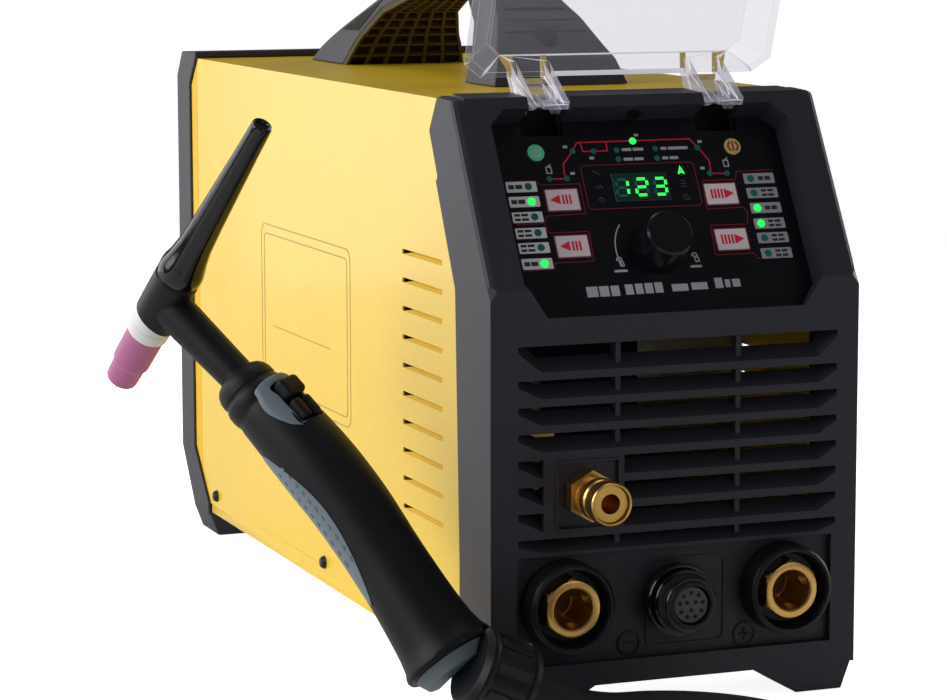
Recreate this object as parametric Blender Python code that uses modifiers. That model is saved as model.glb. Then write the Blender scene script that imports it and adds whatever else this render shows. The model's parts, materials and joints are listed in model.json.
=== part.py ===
"""TIG welding inverter with a lift-up clear cover, and its hand torch on a coiled cable.

The machine is drawn with the lower front face at Y = 0, the floor at Z = 0 and X = 0 on its middle
plane. The last step moves everything so that the origin is the bottom centre of machine and torch.
"""

import math

import bmesh
import bpy
from mathutils import Matrix, Vector

# Driving dimensions, in metres.
GAP = 0.0003
HALF_WIDTH = 0.093
BREAK_Z = 0.1985
SLOPE_RUN = 0.0495
SLOPE_RISE = 0.084
POCKET_DEPTH = 0.018
PANEL_FACE = -0.015
COVER_HALF = 0.0915
SHEET = 0.0012
COVER_TOP = 0.2815
REAR_Y = 0.513

LOUVRES = 10
LOUVRE_PITCH = 0.0139
LOUVRE_LOWEST = 0.0797
LOUVRE_LENGTH = 0.055

BLADES = 7
BLADE_PITCH = 0.01225
BLADE_HIGHEST = 0.159
BLADE_HALF = 0.00175
BLADE_RISE = 0.006
FRONT_WALL = 0.0075

SOCKET_X = 0.0555
SOCKET_Z = 0.0519
CONTROL_SOCKET_Z = 0.051
GAS_X = -0.0455
GAS_Z = 0.1035

HINGE_Y = 0.0616
HINGE_Z = 0.2779
COVER_OPEN = math.radians(129)
EAR_PLACES = (-0.0533, -0.0363, 0.0363, 0.0533)
TONGUE_HALF = 0.0100

KEY_PLACES = (-0.0418, 0.0395)
KEY_ROWS = (0.0512, 0.0275)
ROUND_KEY_PLACES = (-0.0502, 0.0511)
ROUND_KEY_S = 0.0758
KNOB_S = 0.0245

CABLE_RADIUS = 0.009
COIL_CENTRE = (-0.085, -0.265)
COIL_MIDDLE = 0.101
COIL_HALF = 0.029

slope_length = math.hypot(SLOPE_RUN, SLOPE_RISE)
slope_up = Vector((0, SLOPE_RUN, SLOPE_RISE)) / slope_length
slope_out = Vector((0, -SLOPE_RISE, SLOPE_RUN)) / slope_length

# Local X, Y and Z of a drawing placed on the front, the sloping panel, a side or the rear.
FRONT = Matrix(((1, 0, 0, 0), (0, 0, -1, 0), (0, 1, 0, 0), (0, 0, 0, 1)))
REAR = Matrix(((-1, 0, 0, 0), (0, 0, 1, 0), (0, 1, 0, 0), (0, 0, 0, 1)))
SIDE = Matrix(((0, 0, 1, 0), (1, 0, 0, 0), (0, 1, 0, 0), (0, 0, 0, 1)))
SLOPE = Matrix.Translation((0, 0, BREAK_Z)) @ Matrix(
    (
        (1, 0, 0, 0),
        (0, slope_up.y, slope_out.y, 0),
        (0, slope_up.z, slope_out.z, 0),
        (0, 0, 0, 1),
    )
)

for old in list(bpy.data.objects):
    bpy.data.objects.remove(old, do_unlink=True)

parts = bpy.data.collections.new("tig_welder")
cutters = bpy.data.collections.new("cutters")
bpy.context.scene.collection.children.link(parts)
bpy.context.scene.collection.children.link(cutters)
cutters.hide_render = True


def material(name, colour, roughness, metallic=0.0):
    made = bpy.data.materials.new(name)
    made.use_nodes = True
    shader = made.node_tree.nodes["Principled BSDF"]
    shader.inputs["Base Color"].default_value = (*colour, 1)
    shader.inputs["Roughness"].default_value = roughness
    shader.inputs["Metallic"].default_value = metallic
    return made


CHARCOAL = material("charcoal_plastic", (0.035, 0.034, 0.042), 0.55)
BLACK = material("black_plastic", (0.012, 0.012, 0.013), 0.4)
GLOSS = material("gloss_black", (0.006, 0.006, 0.007), 0.12)
YELLOW = material("yellow_paint", (0.9, 0.62, 0.03), 0.35)
STEEL = material("zinc_steel", (0.55, 0.56, 0.57), 0.4, 1.0)
BRASS = material("brass", (0.75, 0.52, 0.2), 0.25, 1.0)
CLEAR = material("clear_polycarbonate", (0.85, 0.88, 0.95), 0.05)
WHITE = material("white_key", (0.85, 0.85, 0.85), 0.4)
GREEN = material("green_key", (0.05, 0.6, 0.3), 0.4)
GOLD = material("gold_key", (0.7, 0.5, 0.15), 0.4)
ALUMINIUM = material("aluminium", (0.7, 0.7, 0.72), 0.4, 1.0)
BOARD = material("circuit_board", (0.02, 0.18, 0.08), 0.5)
COPPER = material("copper_winding", (0.6, 0.3, 0.12), 0.35, 1.0)
CERAMIC = material("pink_ceramic", (0.5, 0.18, 0.32), 0.5)
WHITE_RING = material("white_insulator", (0.85, 0.85, 0.85), 0.4)
RUBBER = material("black_rubber", (0.01, 0.01, 0.011), 0.7)
GREY = material("blue_grey_plastic", (0.25, 0.3, 0.34), 0.5)
TUNGSTEN = material("tungsten", (0.45, 0.45, 0.47), 0.35, 1.0)
RED = material("red_switch", (0.55, 0.02, 0.02), 0.35)


def add(mesh, name, look, collection=None):
    """A new object for this mesh, in the part collection unless another is given."""
    made = bpy.data.objects.new(name, mesh)
    (collection or parts).objects.link(made)
    if look:
        mesh.materials.clear()
        mesh.materials.append(look)
    return made


def from_bmesh(shape, name, look, place=None, collection=None):
    bmesh.ops.recalc_face_normals(shape, faces=shape.faces)
    mesh = bpy.data.meshes.new(name)
    shape.to_mesh(mesh)
    shape.free()
    if place:
        mesh.transform(place)
    return add(mesh, name, look, collection)


def box(name, low, high, look=None, place=None, collection=None, rounding=0.0):
    """A box between two corners, its edges bevelled where a rounding is given."""
    shape = bmesh.new()
    bmesh.ops.create_cube(shape, size=1)
    size = Vector(high) - Vector(low)
    middle = (Vector(high) + Vector(low)) / 2
    bmesh.ops.transform(
        shape,
        matrix=Matrix.Translation(middle) @ Matrix.Diagonal((*size, 1)),
        verts=shape.verts,
    )
    if rounding:
        bmesh.ops.bevel(shape, geom=shape.edges[:], offset=rounding, segments=1, affect="EDGES")
    return from_bmesh(shape, name, look, place, collection)


def cylinder(name, radius, low, high, look=None, place=None, collection=None, sides=24, tip=None):
    """A cylinder or cone along local Z from low to high. tip is its radius at the high end."""
    shape = bmesh.new()
    bmesh.ops.create_cone(
        shape,
        cap_ends=True,
        segments=sides,
        radius1=radius,
        radius2=radius if tip is None else tip,
        depth=high - low,
        matrix=Matrix.Translation((0, 0, (low + high) / 2)),
    )
    return from_bmesh(shape, name, look, place, collection)


def evaluated_mesh(obj):
    """The object's mesh with its modifiers applied, in world space, its loose caps welded."""
    bpy.context.view_layer.update()
    graph = bpy.context.evaluated_depsgraph_get()
    mesh = bpy.data.meshes.new_from_object(obj.evaluated_get(graph))
    mesh.transform(obj.matrix_world)
    shape = bmesh.new()
    shape.from_mesh(mesh)
    bmesh.ops.remove_doubles(shape, verts=shape.verts, dist=1e-6)
    shape.to_mesh(mesh)
    shape.free()
    return mesh


def drawn(outline, low, high):
    """A mesh of a closed outline in local XY, from low to high along local Z."""
    curve = bpy.data.curves.new("outline", "CURVE")
    curve.dimensions = "2D"
    curve.fill_mode = "BOTH"
    curve.extrude = (high - low) / 2
    spline = curve.splines.new("POLY")
    spline.points.add(len(outline) - 1)
    for point, (x, y) in zip(spline.points, outline):
        point.co = (x, y, 0, 1)
    spline.use_cyclic_u = True
    holder = bpy.data.objects.new("outline", curve)
    cutters.objects.link(holder)
    mesh = evaluated_mesh(holder)
    bpy.data.objects.remove(holder)
    mesh.transform(Matrix.Translation((0, 0, (low + high) / 2)))
    return mesh


def plate(name, outline, low, high, look=None, place=None, collection=None):
    mesh = drawn(outline, low, high)
    shape = bmesh.new()
    shape.from_mesh(mesh)
    return from_bmesh(shape, name, look, place, collection)


def turned(name, profile, look, place=None, sides=32, collection=None):
    """A turned part about local Z. The profile is (radius, height) points, down its outer side."""
    shape = bmesh.new()
    points = [shape.verts.new((radius, 0, height)) for radius, height in profile]
    for start, end in zip(points, points[1:]):
        shape.edges.new((start, end))
    if profile[0][0] > 0:
        shape.edges.new((points[-1], points[0]))
    mesh = bpy.data.meshes.new(name)
    shape.to_mesh(mesh)
    shape.free()
    holder = add(mesh, name, look, cutters)
    screw = holder.modifiers.new("turn", "SCREW")
    screw.steps = screw.render_steps = sides
    screw.use_merge_vertices = True
    screw.merge_threshold = 0.00001
    made = evaluated_mesh(holder)
    bpy.data.objects.remove(holder)
    shape = bmesh.new()
    shape.from_mesh(made)
    return from_bmesh(shape, name, look, place, collection)


def joined(name, pieces, collection):
    """One object from several that don't touch, for use as a cutter."""
    shape = bmesh.new()
    for piece in pieces:
        shape.from_mesh(piece.data)
        bpy.data.objects.remove(piece)
    return from_bmesh(shape, name, None, None, collection)


def combine(target, other, operation):
    """Applies one Boolean to the target's mesh and removes the other object."""
    boolean = target.modifiers.new(operation.lower(), "BOOLEAN")
    boolean.operation = operation
    boolean.object = other
    mesh = evaluated_mesh(target)
    target.modifiers.remove(boolean)
    target.data = mesh
    bpy.data.objects.remove(other)


def cut(target, other):
    combine(target, other, "DIFFERENCE")


def join(target, other):
    combine(target, other, "UNION")


def helper_box(low, high, place=None):
    return box("cutter", low, high, None, place, cutters)


def helper_cylinder(radius, low, high, place=None, sides=24, tip=None):
    return cylinder("cutter", radius, low, high, None, place, cutters, sides, tip)


def at(x, y, z):
    return Matrix.Translation((x, y, z))


def along(start, direction):
    """A frame at start whose local Z points along direction."""
    turn = Vector(direction).to_track_quat("Z", "Y").to_matrix().to_4x4()
    return Matrix.Translation(start) @ turn


def mirrored(outline):
    """An outline on both sides of X = 0 from its right half, drawn from the bottom up."""
    return [*outline, *[(-x, y) for x, y in reversed(outline)]]


# ---------------------------------------------------------------- front bezel

POCKET = mirrored(
    [(0.065, -0.0112), (0.076, 0.003), (0.076, 0.084), (0.068, 0.0915)]
)
BEZEL_SIDE = [
    (0, 0.013),
    (0.040, 0.013),
    (0.040, 0.068),
    (0.045, 0.195),
    (0.082, 0.266),
    (0.071, 0.2835),
    (SLOPE_RUN, BREAK_Z + SLOPE_RISE),
    (0, BREAK_Z),
]
BEZEL_HOLLOW = [
    (FRONT_WALL, 0.0165),
    (0.1, 0.0165),
    (0.1, 0.279),
    (0.069, 0.279),
    (0.0653, 0.2679),
    (0.010, 0.174),
    (FRONT_WALL, 0.167),
]
FOOT = [(0.038, 0.0145), (0.0627, 0), (0.0865, 0), (0.0919, 0.0145)]
CORNER_CUT = [(0.0925, 0.074), (0.1, 0.074), (0.1, 0.11), (0.084, 0.11), (0.0872, 0.096)]


def bezel_block():
    """The bezel's outer form, with its front edges chamfered along both sides."""
    mesh = drawn(BEZEL_SIDE, -HALF_WIDTH, HALF_WIDTH)
    mesh.transform(SIDE)
    shape = bmesh.new()
    shape.from_mesh(mesh)
    front = [
        edge
        for edge in shape.edges
        if all(abs(v.co.x) > HALF_WIDTH - 0.001 for v in edge.verts)
        and all(slope_out.dot(v.co - Vector((0, 0, BREAK_Z))) > -0.020 for v in edge.verts)
        and edge.verts[0].co.x * edge.verts[1].co.x > 0
        and all(v.co.y < 0.0715 and v.co.z > 0.013 or v.co.y < 0.001 for v in edge.verts)
    ]
    bmesh.ops.bevel(shape, geom=front, offset=0.0032, segments=2, affect="EDGES")
    return from_bmesh(shape, "front_bezel", CHARCOAL)


def slot_outline(low, high, left, right, tips):
    """A grille slot with ends that slope up to the outer tips of the row."""
    outline = [(left, low), (right, low)]
    if tips[1]:
        outline = [(left, low), (0.0725, low), (0.082, high - 0.003), (0.082, high)]
    else:
        outline.append((right, high))
    if tips[0]:
        outline[0] = (-0.068, low)
        outline += [(-0.0795, high), (-0.0795, high - 0.003)]
    else:
        outline.append((left, high))
    return outline


def slot(row_low, row_high, left, right, tips, depth_from, depth_to):
    """A slot cutter that rises towards the rear, as the blades do."""
    cutter = plate(
        "cutter",
        slot_outline(row_low, row_high, left, right, tips),
        depth_from,
        depth_to,
        None,
        None,
        cutters,
    )
    lean = Matrix.Identity(4)
    lean[1][2] = BLADE_RISE / FRONT_WALL
    cutter.data.transform(FRONT @ Matrix.Diagonal((1, 1, -1, 1)) @ lean)
    cutter.data.flip_normals()
    return cutter


def front_slot(low, high, left, right, tips):
    """The part of a slot in front of the ribs, a hair smaller than the way behind it."""
    return slot(low + 0.0001, high - 0.0001, left + 0.0001, right - 0.0001, tips, -0.004, 0.0025)


def grille_rows():
    """(low, high) of each slot at the front face, from the top down."""
    tops = [0.1748] + [BLADE_HIGHEST - BLADE_PITCH * k for k in range(BLADES)]
    lows = [BLADE_HIGHEST - BLADE_PITCH * k for k in range(BLADES)] + [0.0772 - BLADE_HALF]
    return [(low + BLADE_HALF, top - BLADE_HALF) for top, low in zip(tops, lows)]


def cut_grille(bezel):
    shallow, deep = [], []
    rib = 0.0305
    for number, (low, high) in enumerate(grille_rows()):
        beside_gas = 4 <= number < BLADES
        if beside_gas:
            shallow.append(front_slot(low, high, -0.0795, -0.0668, (True, False)))
            shallow.append(front_slot(low, high, -0.0270, 0.082, (False, True)))
            deep.append(slot(low, high, -0.0795, -0.0665, (True, False), 0.002, 0.012))
            deep.append(slot(low, high, -0.0272, rib, (False, False), 0.002, 0.012))
        else:
            shallow.append(front_slot(low, high, -0.0795, 0.082, (True, True)))
            deep.append(slot(low, high, -0.0795, -rib, (True, False), 0.002, 0.012))
            deep.append(slot(low, high, -rib + 0.0025, rib, (False, False), 0.002, 0.012))
        deep.append(slot(low, high, rib + 0.0025, 0.082, (False, True), 0.002, 0.012))
    cut(bezel, joined("cutter", shallow, cutters))
    cut(bezel, joined("cutter", deep, cutters))


def tongue_places():
    """The middle of each pair of the clear cover's ears."""
    return [(a + b) / 2 for a, b in (EAR_PLACES[:2], EAR_PLACES[2:])]


def tongue_window():
    """The opening in the bezel's top edge that a hinge tongue swings through, in Y and Z."""
    swept = [
        (
            HINGE_Y + 0.0153 * math.cos(math.radians(turn)),
            HINGE_Z + 0.0153 * math.sin(math.radians(turn)),
        )
        for turn in range(165, 331, 15)
    ]
    return [*swept, (0.0765, 0.2700), (0.0735, 0.2900), (0.0440, 0.2900)]


def make_bezel():
    bezel = bezel_block()
    for side in (-1, 1):
        outline = [(side * x, y) for x, y in CORNER_CUT]
        cut(bezel, plate("cutter", outline, -0.05, 0.05, None, SLOPE, cutters))
        outline = [(side * x, z) for x, z in FOOT]
        join(bezel, plate("foot", outline, -0.034, -0.0005, None, FRONT, cutters))
    hollow = drawn(BEZEL_HOLLOW, -0.0895, 0.0895)
    hollow.transform(SIDE)
    cut(bezel, add(hollow, "cutter", None, cutters))
    cut(bezel, plate("cutter", POCKET, -POCKET_DEPTH, 0.05, None, SLOPE, cutters))
    cut(bezel, helper_box((-0.080, -0.02, 0.024), (0.080, 0.004, 0.0755)))
    cut(bezel, helper_box((-0.061, -0.02, 0.0868), (-0.029, 0.0015, 0.1195)))
    cut_grille(bezel)
    holes = [
        helper_cylinder(0.0108, -0.02, 0.02, at(-SOCKET_X, 0, SOCKET_Z) @ FRONT),
        helper_cylinder(0.0108, -0.02, 0.02, at(SOCKET_X, 0, SOCKET_Z) @ FRONT),
        helper_cylinder(0.0092, -0.02, 0.02, at(0, 0, CONTROL_SOCKET_Z) @ FRONT),
        helper_cylinder(0.0066, -0.02, 0.02, at(GAS_X, 0, GAS_Z) @ FRONT),
    ]
    cut(bezel, joined("cutter", holes, cutters))
    windows = []
    for x in tongue_places():
        window = drawn(tongue_window(), x - TONGUE_HALF - 0.0007, x + TONGUE_HALF + 0.0007)
        window.transform(SIDE)
        windows.append(add(window, "window", None, cutters))
    cut(bezel, joined("cutter", windows, cutters))
    pin_way = Matrix.Translation((0, HINGE_Y, HINGE_Z)) @ SIDE
    cut(bezel, helper_cylinder(0.0023, -0.0605, 0.0605, pin_way, sides=12))
    shaft_way = SLOPE @ at(0, KNOB_S, 0)
    cut(bezel, helper_cylinder(0.0038, -0.03, -0.01, shaft_way, sides=16))
    cylinder(
        "cover_hinge_pin", 0.002, -0.060, 0.060, STEEL, pin_way, sides=12
    )


# ---------------------------------------------------------------- control panel


def ring_outline(radius, centre, sides=16):
    return [
        (
            centre[0] + radius * math.cos(2 * math.pi * k / sides),
            centre[1] + radius * math.sin(2 * math.pi * k / sides),
        )
        for k in range(sides)
    ]


def rectangle(centre, width, height):
    x, y = centre
    return [
        (x - width / 2, y - height / 2),
        (x + width / 2, y - height / 2),
        (x + width / 2, y + height / 2),
        (x - width / 2, y + height / 2),
    ]


def make_control_panel():
    inset = mirrored([(0.0646, -0.0108), (0.0757, 0.0032), (0.0757, 0.0838), (0.0678, 0.0912)])
    panel = plate(
        "control_panel", inset, -POCKET_DEPTH + GAP, PANEL_FACE, GLOSS, SLOPE
    )
    key_low, key_high = -POCKET_DEPTH + 0.0007, PANEL_FACE + 0.0005
    names = {
        (0, 0): "process_key",
        (0, 1): "cycle_key",
        (1, 0): "trigger_mode_key",
        (1, 1): "current_key",
    }
    openings = []
    for (column, row), name in names.items():
        centre = (KEY_PLACES[column], KEY_ROWS[row])
        outline = rectangle(centre, 0.0160, 0.0106)
        plate(name, outline, key_low, key_high, WHITE, SLOPE)
        openings.append(rectangle(centre, 0.0166, 0.0112))
    for column, name, look in ((0, "power_key", GREEN), (1, "favourite_key", GOLD)):
        centre = (ROUND_KEY_PLACES[column], ROUND_KEY_S)
        plate(name, ring_outline(0.0043, centre), key_low, key_high, look, SLOPE)
        openings.append(ring_outline(0.0047, centre))
    window = (-0.0006, 0.0565)
    outline = rectangle(window, 0.0286, 0.0148)
    plate("display_window", outline, -0.0172, PANEL_FACE + 0.0002, GLOSS, SLOPE)
    openings.append(rectangle(window, 0.0292, 0.0154))
    openings.append(ring_outline(0.0040, (0, KNOB_S)))
    holes = [
        plate("cutter", outline, -0.03, 0, None, SLOPE, cutters) for outline in openings
    ]
    reach = TONGUE_HALF + 0.0007
    holes += [
        helper_box((x - reach, 0.0843, -0.03), (x + reach, 0.0950, 0), SLOPE)
        for x in tongue_places()
    ]
    cut(panel, joined("cutter", holes, cutters))


def make_encoder():
    place = SLOPE @ at(0, KNOB_S, 0)
    turned(
        "encoder_shaft",
        [(0, -0.004), (0.003, -0.004), (0.003, -0.0215), (0, -0.0215)],
        STEEL,
        place,
        16,
    )
    profile = [
        (0, 0.0035),
        (0.0105, 0.0035),
        (0.0115, 0.0026),
        (0.0124, -0.0100),
        (0.0129, -0.0142),
        (0.0033, -0.0142),
        (0.0033, -0.0035),
        (0, -0.0035),
    ]
    turned("encoder_knob", profile, BLACK, place, 36)


# ---------------------------------------------------------------- clear cover

RIM = mirrored([(0.0680, -0.0115), (0.0792, 0.0005), (0.0792, 0.0840), (0.0700, 0.0912)])
CROWN = mirrored([(0.0570, 0.0010), (0.0655, 0.0095), (0.0655, 0.0778), (0.0592, 0.0838)])


def cover_shell():
    """The cover's shut form in the slope's frame: a flat crown with sloping walls to its rim."""
    shape = bmesh.new()
    rim = [shape.verts.new((x, y, 0.0007)) for x, y in RIM]
    crown = [shape.verts.new((x, y, 0.0097)) for x, y in CROWN]
    shape.faces.new(crown)
    for k in range(len(rim)):
        following = (k + 1) % len(rim)
        shape.faces.new((rim[k], rim[following], crown[following], crown[k]))
    bmesh.ops.recalc_face_normals(shape, faces=shape.faces)
    mesh = bpy.data.meshes.new("clear_cover")
    shape.to_mesh(mesh)
    shape.free()
    shell = add(mesh, "shell", None, cutters)
    solid = shell.modifiers.new("thickness", "SOLIDIFY")
    solid.thickness = 0.0022
    solid.offset = -1
    made = evaluated_mesh(shell)
    bpy.data.objects.remove(shell)
    return made


def ear_outline():
    """One hinge ear at rest, in world Y and Z: an arm from the cover's fold and a hooked foot."""
    foot = [
        (
            HINGE_Y + 0.0048 * math.cos(math.radians(turn)),
            HINGE_Z + 0.0048 * math.sin(math.radians(turn)),
        )
        for turn in (200, 245, 290, 335)
    ]
    return [(0.0470, 0.2795), (0.0500, 0.2762), *foot, (0.0765, 0.2905), (0.0768, 0.3003)]


# A tongue's section, in Y and Z, from the tip hooked over the bezel's edge back to the cover's rim.
TONGUE = [(0.0466, 0.2786), (0.0476, 0.2766), (0.0500, 0.2768), (0.0728, 0.2870), (0.0722, 0.2898)]


def make_clear_cover():
    cover = add(cover_shell(), "clear_cover", CLEAR)
    cut(cover, helper_box((-0.1, -0.03, -0.02), (0.1, 0.11, 0.0006)))
    swing = (
        at(0, HINGE_Y, HINGE_Z)
        @ Matrix.Rotation(-COVER_OPEN, 4, "X")
        @ at(0, -HINGE_Y, -HINGE_Z)
    )
    cover.data.transform(swing @ SLOPE)
    for x in EAR_PLACES:
        ear = plate("ear", ear_outline(), -0.0015, 0.0015, None, at(x, 0, 0) @ SIDE, cutters)
        join(cover, ear)
    for x in tongue_places():
        place = at(x, 0, 0) @ SIDE
        tongue = plate("tongue", TONGUE, -TONGUE_HALF + 0.0004, TONGUE_HALF - 0.0004, None, place, cutters)
        cut(tongue, helper_box((x - 0.0068, 0.0400, 0.2600), (x - 0.0028, 0.0590, 0.2950)))
        join(cover, tongue)
    pin_way = at(0, HINGE_Y, HINGE_Z) @ SIDE
    cut(cover, helper_cylinder(0.0024, -0.07, 0.07, pin_way, sides=12))


# ---------------------------------------------------------------- sockets on the front


def make_dinse(side, name):
    place = at(side * SOCKET_X, 0, SOCKET_Z) @ FRONT
    floor = 0.0005
    turned(
        f"dinse_shroud_{name}",
        [
            (0.0195, 0.0095),
            (0.0210, 0.0080),
            (0.0215, -0.0037),
            (0.0104, -0.0037),
            (0.0104, floor),
            (0.0165, floor),
            (0.0185, 0.0095),
        ],
        BLACK,
        place,
        36,
    )
    insert = cylinder(
        f"dinse_insert_{name}", 0.0151, floor + GAP, 0.0085, BRASS, place, sides=6
    )
    join(insert, helper_cylinder(0.0100, -0.045, 0.004, place, 24))
    bore = helper_cylinder(0.0066, -0.030, 0.02, place, 24)
    cut(insert, bore)
    cut(insert, helper_cylinder(0.0066, 0.0069, 0.0090, place, 24, tip=0.0087))
    key = box("cutter", (-0.0016, 0.004, -0.030), (0.0016, 0.0092, 0.02), None, place, cutters)
    cut(insert, key)


def make_control_socket():
    place = at(0, 0, CONTROL_SOCKET_Z) @ FRONT
    turned(
        "control_socket",
        [
            (0.0105, 0.0180),
            (0.0116, 0.0172),
            (0.0116, 0.0120),
            (0.0142, 0.0105),
            (0.0142, 0.0030),
            (0.0160, 0.0020),
            (0.0160, -0.0037),
            (0.0088, -0.0037),
            (0.0088, -0.0160),
            (0.0060, -0.0160),
            (0.0060, 0.0070),
            (0.0092, 0.0070),
            (0.0092, 0.0180),
        ],
        BLACK,
        place,
        32,
    )
    turned(
        "control_socket_core",
        [(0, 0.0155), (0.0086, 0.0155), (0.0086, 0.0073), (0, 0.0073)],
        GLOSS,
        place,
        24,
    )


def make_gas_coupling():
    place = at(GAS_X, 0, GAS_Z) @ FRONT
    body = cylinder("gas_coupling_body", 0.0122, -0.0012, 0.0070, BRASS, place, sides=6)
    join(body, helper_cylinder(0.0085, 0.0060, 0.0270, place))
    join(body, helper_cylinder(0.0062, -0.0150, 0.0, place))
    cut(body, helper_cylinder(0.0046, -0.0040, 0.03, place))
    turned(
        "gas_coupling_sleeve",
        [
            (0.0088, 0.0290),
            (0.0096, 0.0290),
            (0.0101, 0.0282),
            (0.0101, 0.0225),
            (0.0094, 0.0215),
            (0.0094, 0.0195),
            (0.0101, 0.0185),
            (0.0101, 0.0140),
            (0.0088, 0.0135),
        ],
        BRASS,
        place,
        28,
    )


# ---------------------------------------------------------------- covers, chassis and rear

COVER_SIDE = [
    (0.0405, 0.020),
    (0.4580, 0.020),
    (0.4865, 0.050),
    (0.4865, 0.2660),
    (0.4730, COVER_TOP),
    (0.0724, COVER_TOP),
    (0.0828, 0.2660),
    (0.0455, 0.195),
    (0.0405, 0.068),
]
REAR_SIDE = [
    (0.4585, 0.013),
    (0.4870, 0.013),
    (REAR_Y, 0.047),
    (REAR_Y, 0.270),
    (0.502, 0.2845),
    (0.4735, 0.2855),
    (0.4735, 0.2820),
    (0.4870, 0.2665),
    (0.4870, 0.0495),
    (0.4585, 0.0195),
]


def make_top_cover():
    mesh = drawn(COVER_SIDE, -COVER_HALF, COVER_HALF)
    mesh.transform(SIDE)
    cover = add(mesh, "top_cover", YELLOW)
    inner = COVER_HALF - SHEET
    cut(cover, helper_box((-inner, 0.02, -0.01), (inner, 0.60, COVER_TOP - SHEET)))
    slots = []
    for side in (-1, 1):
        for number in range(LOUVRES):
            z = LOUVRE_LOWEST + number * LOUVRE_PITCH
            low = (side * COVER_HALF - 0.004, 0.066, z - 0.0012)
            high = (side * COVER_HALF + 0.004, 0.066 + LOUVRE_LENGTH, z + 0.0012)
            slots.append(helper_box(low, high))
    cut(cover, joined("cutter", slots, cutters))
    holes = [
        helper_cylinder(0.0022, -0.1, 0.1, at(0, y, 0.0267) @ SIDE, sides=12)
        for y in (0.245, 0.445)
    ]
    cut(cover, joined("cutter", holes, cutters))
    for name, y in (("handle_hole", 0.160),):
        cut(cover, helper_cylinder(0.0024, 0.27, 0.29, at(0, y, 0), sides=12))


def make_cover_screws():
    head = [(0, 0.0016), (0.0024, 0.0014), (0.0035, 0.0004), (0.0035, 0), (0.0018, 0)]
    shank = [(0.0018, -0.0028), (0, -0.0028)]
    for side, hand in ((-1, "left"), (1, "right")):
        for y, end in ((0.245, "middle"), (0.445, "rear")):
            face = (side * (COVER_HALF + GAP), y, 0.0267)
            turned(
                f"cover_screw_{hand}_{end}",
                head + shank,
                BLACK,
                along(face, (side, 0, 0)),
                16,
            )


def make_base_tray():
    tray = box("base_tray", (-0.0885, 0.0435, 0.0145), (0.0885, 0.4550, 0.0330), STEEL)
    cut(tray, helper_box((-0.0873, 0.0300, 0.0157), (0.0873, 0.4700, 0.05)))
    front = [helper_box((x - 0.028, 0.08, 0.01), (x + 0.028, 0.084, 0.02)) for x in (-0.045, 0.045)]
    cut(tray, joined("cutter", front, cutters))


def make_rear_bezel():
    mesh = drawn(REAR_SIDE, -HALF_WIDTH, HALF_WIDTH)
    mesh.transform(SIDE)
    bezel = add(mesh, "rear_bezel", CHARCOAL)
    for side in (-1, 1):
        outline = [(side * x, z) for x, z in FOOT]
        join(bezel, plate("foot", outline, -0.4935, -0.4600, None, FRONT, cutters))
    cut(bezel, helper_box((-0.0870, 0.45, 0.0220), (0.0870, 0.53, 0.2780)))


FAN_Z = 0.135
FAN_RADIUS = 0.054
SWITCH = (0.045, 0.232)
GLAND = (-0.052, 0.052)
GAS_INLET = (0.052, 0.052)
PANEL_Y = 0.4995
SWITCH_PIVOT_Y = PANEL_Y + 0.0015
SWITCH_TILT = math.radians(8)


def fan_slots():
    """Slots in rows across the fan's round opening."""
    rows = 7
    pitch = 2 * FAN_RADIUS / rows
    made = []
    for number in range(rows):
        z = (number - (rows - 1) / 2) * pitch
        half = math.sqrt(FAN_RADIUS**2 - z**2)
        made.append(
            helper_box(
                (-half, PANEL_Y - 0.01, FAN_Z + z - 0.0055),
                (half, PANEL_Y + 0.01, FAN_Z + z + 0.0055),
            )
        )
    return made


def make_rear_panel():
    panel = box(
        "rear_panel", (-0.0866, PANEL_Y, 0.0224), (0.0866, PANEL_Y + 0.0015, 0.2776), STEEL
    )
    x, z = SWITCH
    holes = fan_slots() + [
        helper_box((x - 0.0108, 0.48, z - 0.0143), (x + 0.0108, 0.52, z + 0.0143)),
        helper_cylinder(0.0083, -0.02, 0.02, at(GLAND[0], PANEL_Y, GLAND[1]) @ REAR),
        helper_cylinder(0.0053, -0.02, 0.02, at(GAS_INLET[0], PANEL_Y, GAS_INLET[1]) @ REAR),
    ]
    cut(panel, joined("cutter", holes, cutters))


def make_rear_fittings():
    x, z = SWITCH
    rocker = [(-0.0042, -0.0132), (0.0025, -0.0132), (0.0055, 0), (0.0025, 0.0132), (-0.0042, 0.0132)]
    pivot = at(x, SWITCH_PIVOT_Y, z) @ Matrix.Rotation(-SWITCH_TILT, 4, "X")
    plate("power_switch", rocker, -0.0100, 0.0100, RED, pivot @ SIDE)
    back = PANEL_Y + 0.0015 + GAP
    turned(
        "mains_gland",
        [
            (0.0055, 0.0260),
            (0.0085, 0.0250),
            (0.0118, 0.0150),
            (0.0130, 0.0060),
            (0.0130, 0),
            (0.0080, 0),
            (0.0080, -0.0120),
            (0.0052, -0.0120),
        ],
        BLACK,
        at(GLAND[0], back, GLAND[1]) @ REAR,
        24,
    )
    turned(
        "gas_inlet",
        [
            (0.0028, 0.0280),
            (0.0038, 0.0280),
            (0.0046, 0.0230),
            (0.0038, 0.0225),
            (0.0046, 0.0175),
            (0.0038, 0.0170),
            (0.0038, 0.0080),
            (0.0085, 0.0070),
            (0.0085, 0),
            (0.0050, 0),
            (0.0050, -0.0100),
            (0.0028, -0.0100),
        ],
        BRASS,
        at(GAS_INLET[0], back, GAS_INLET[1]) @ REAR,
        20,
    )


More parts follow.
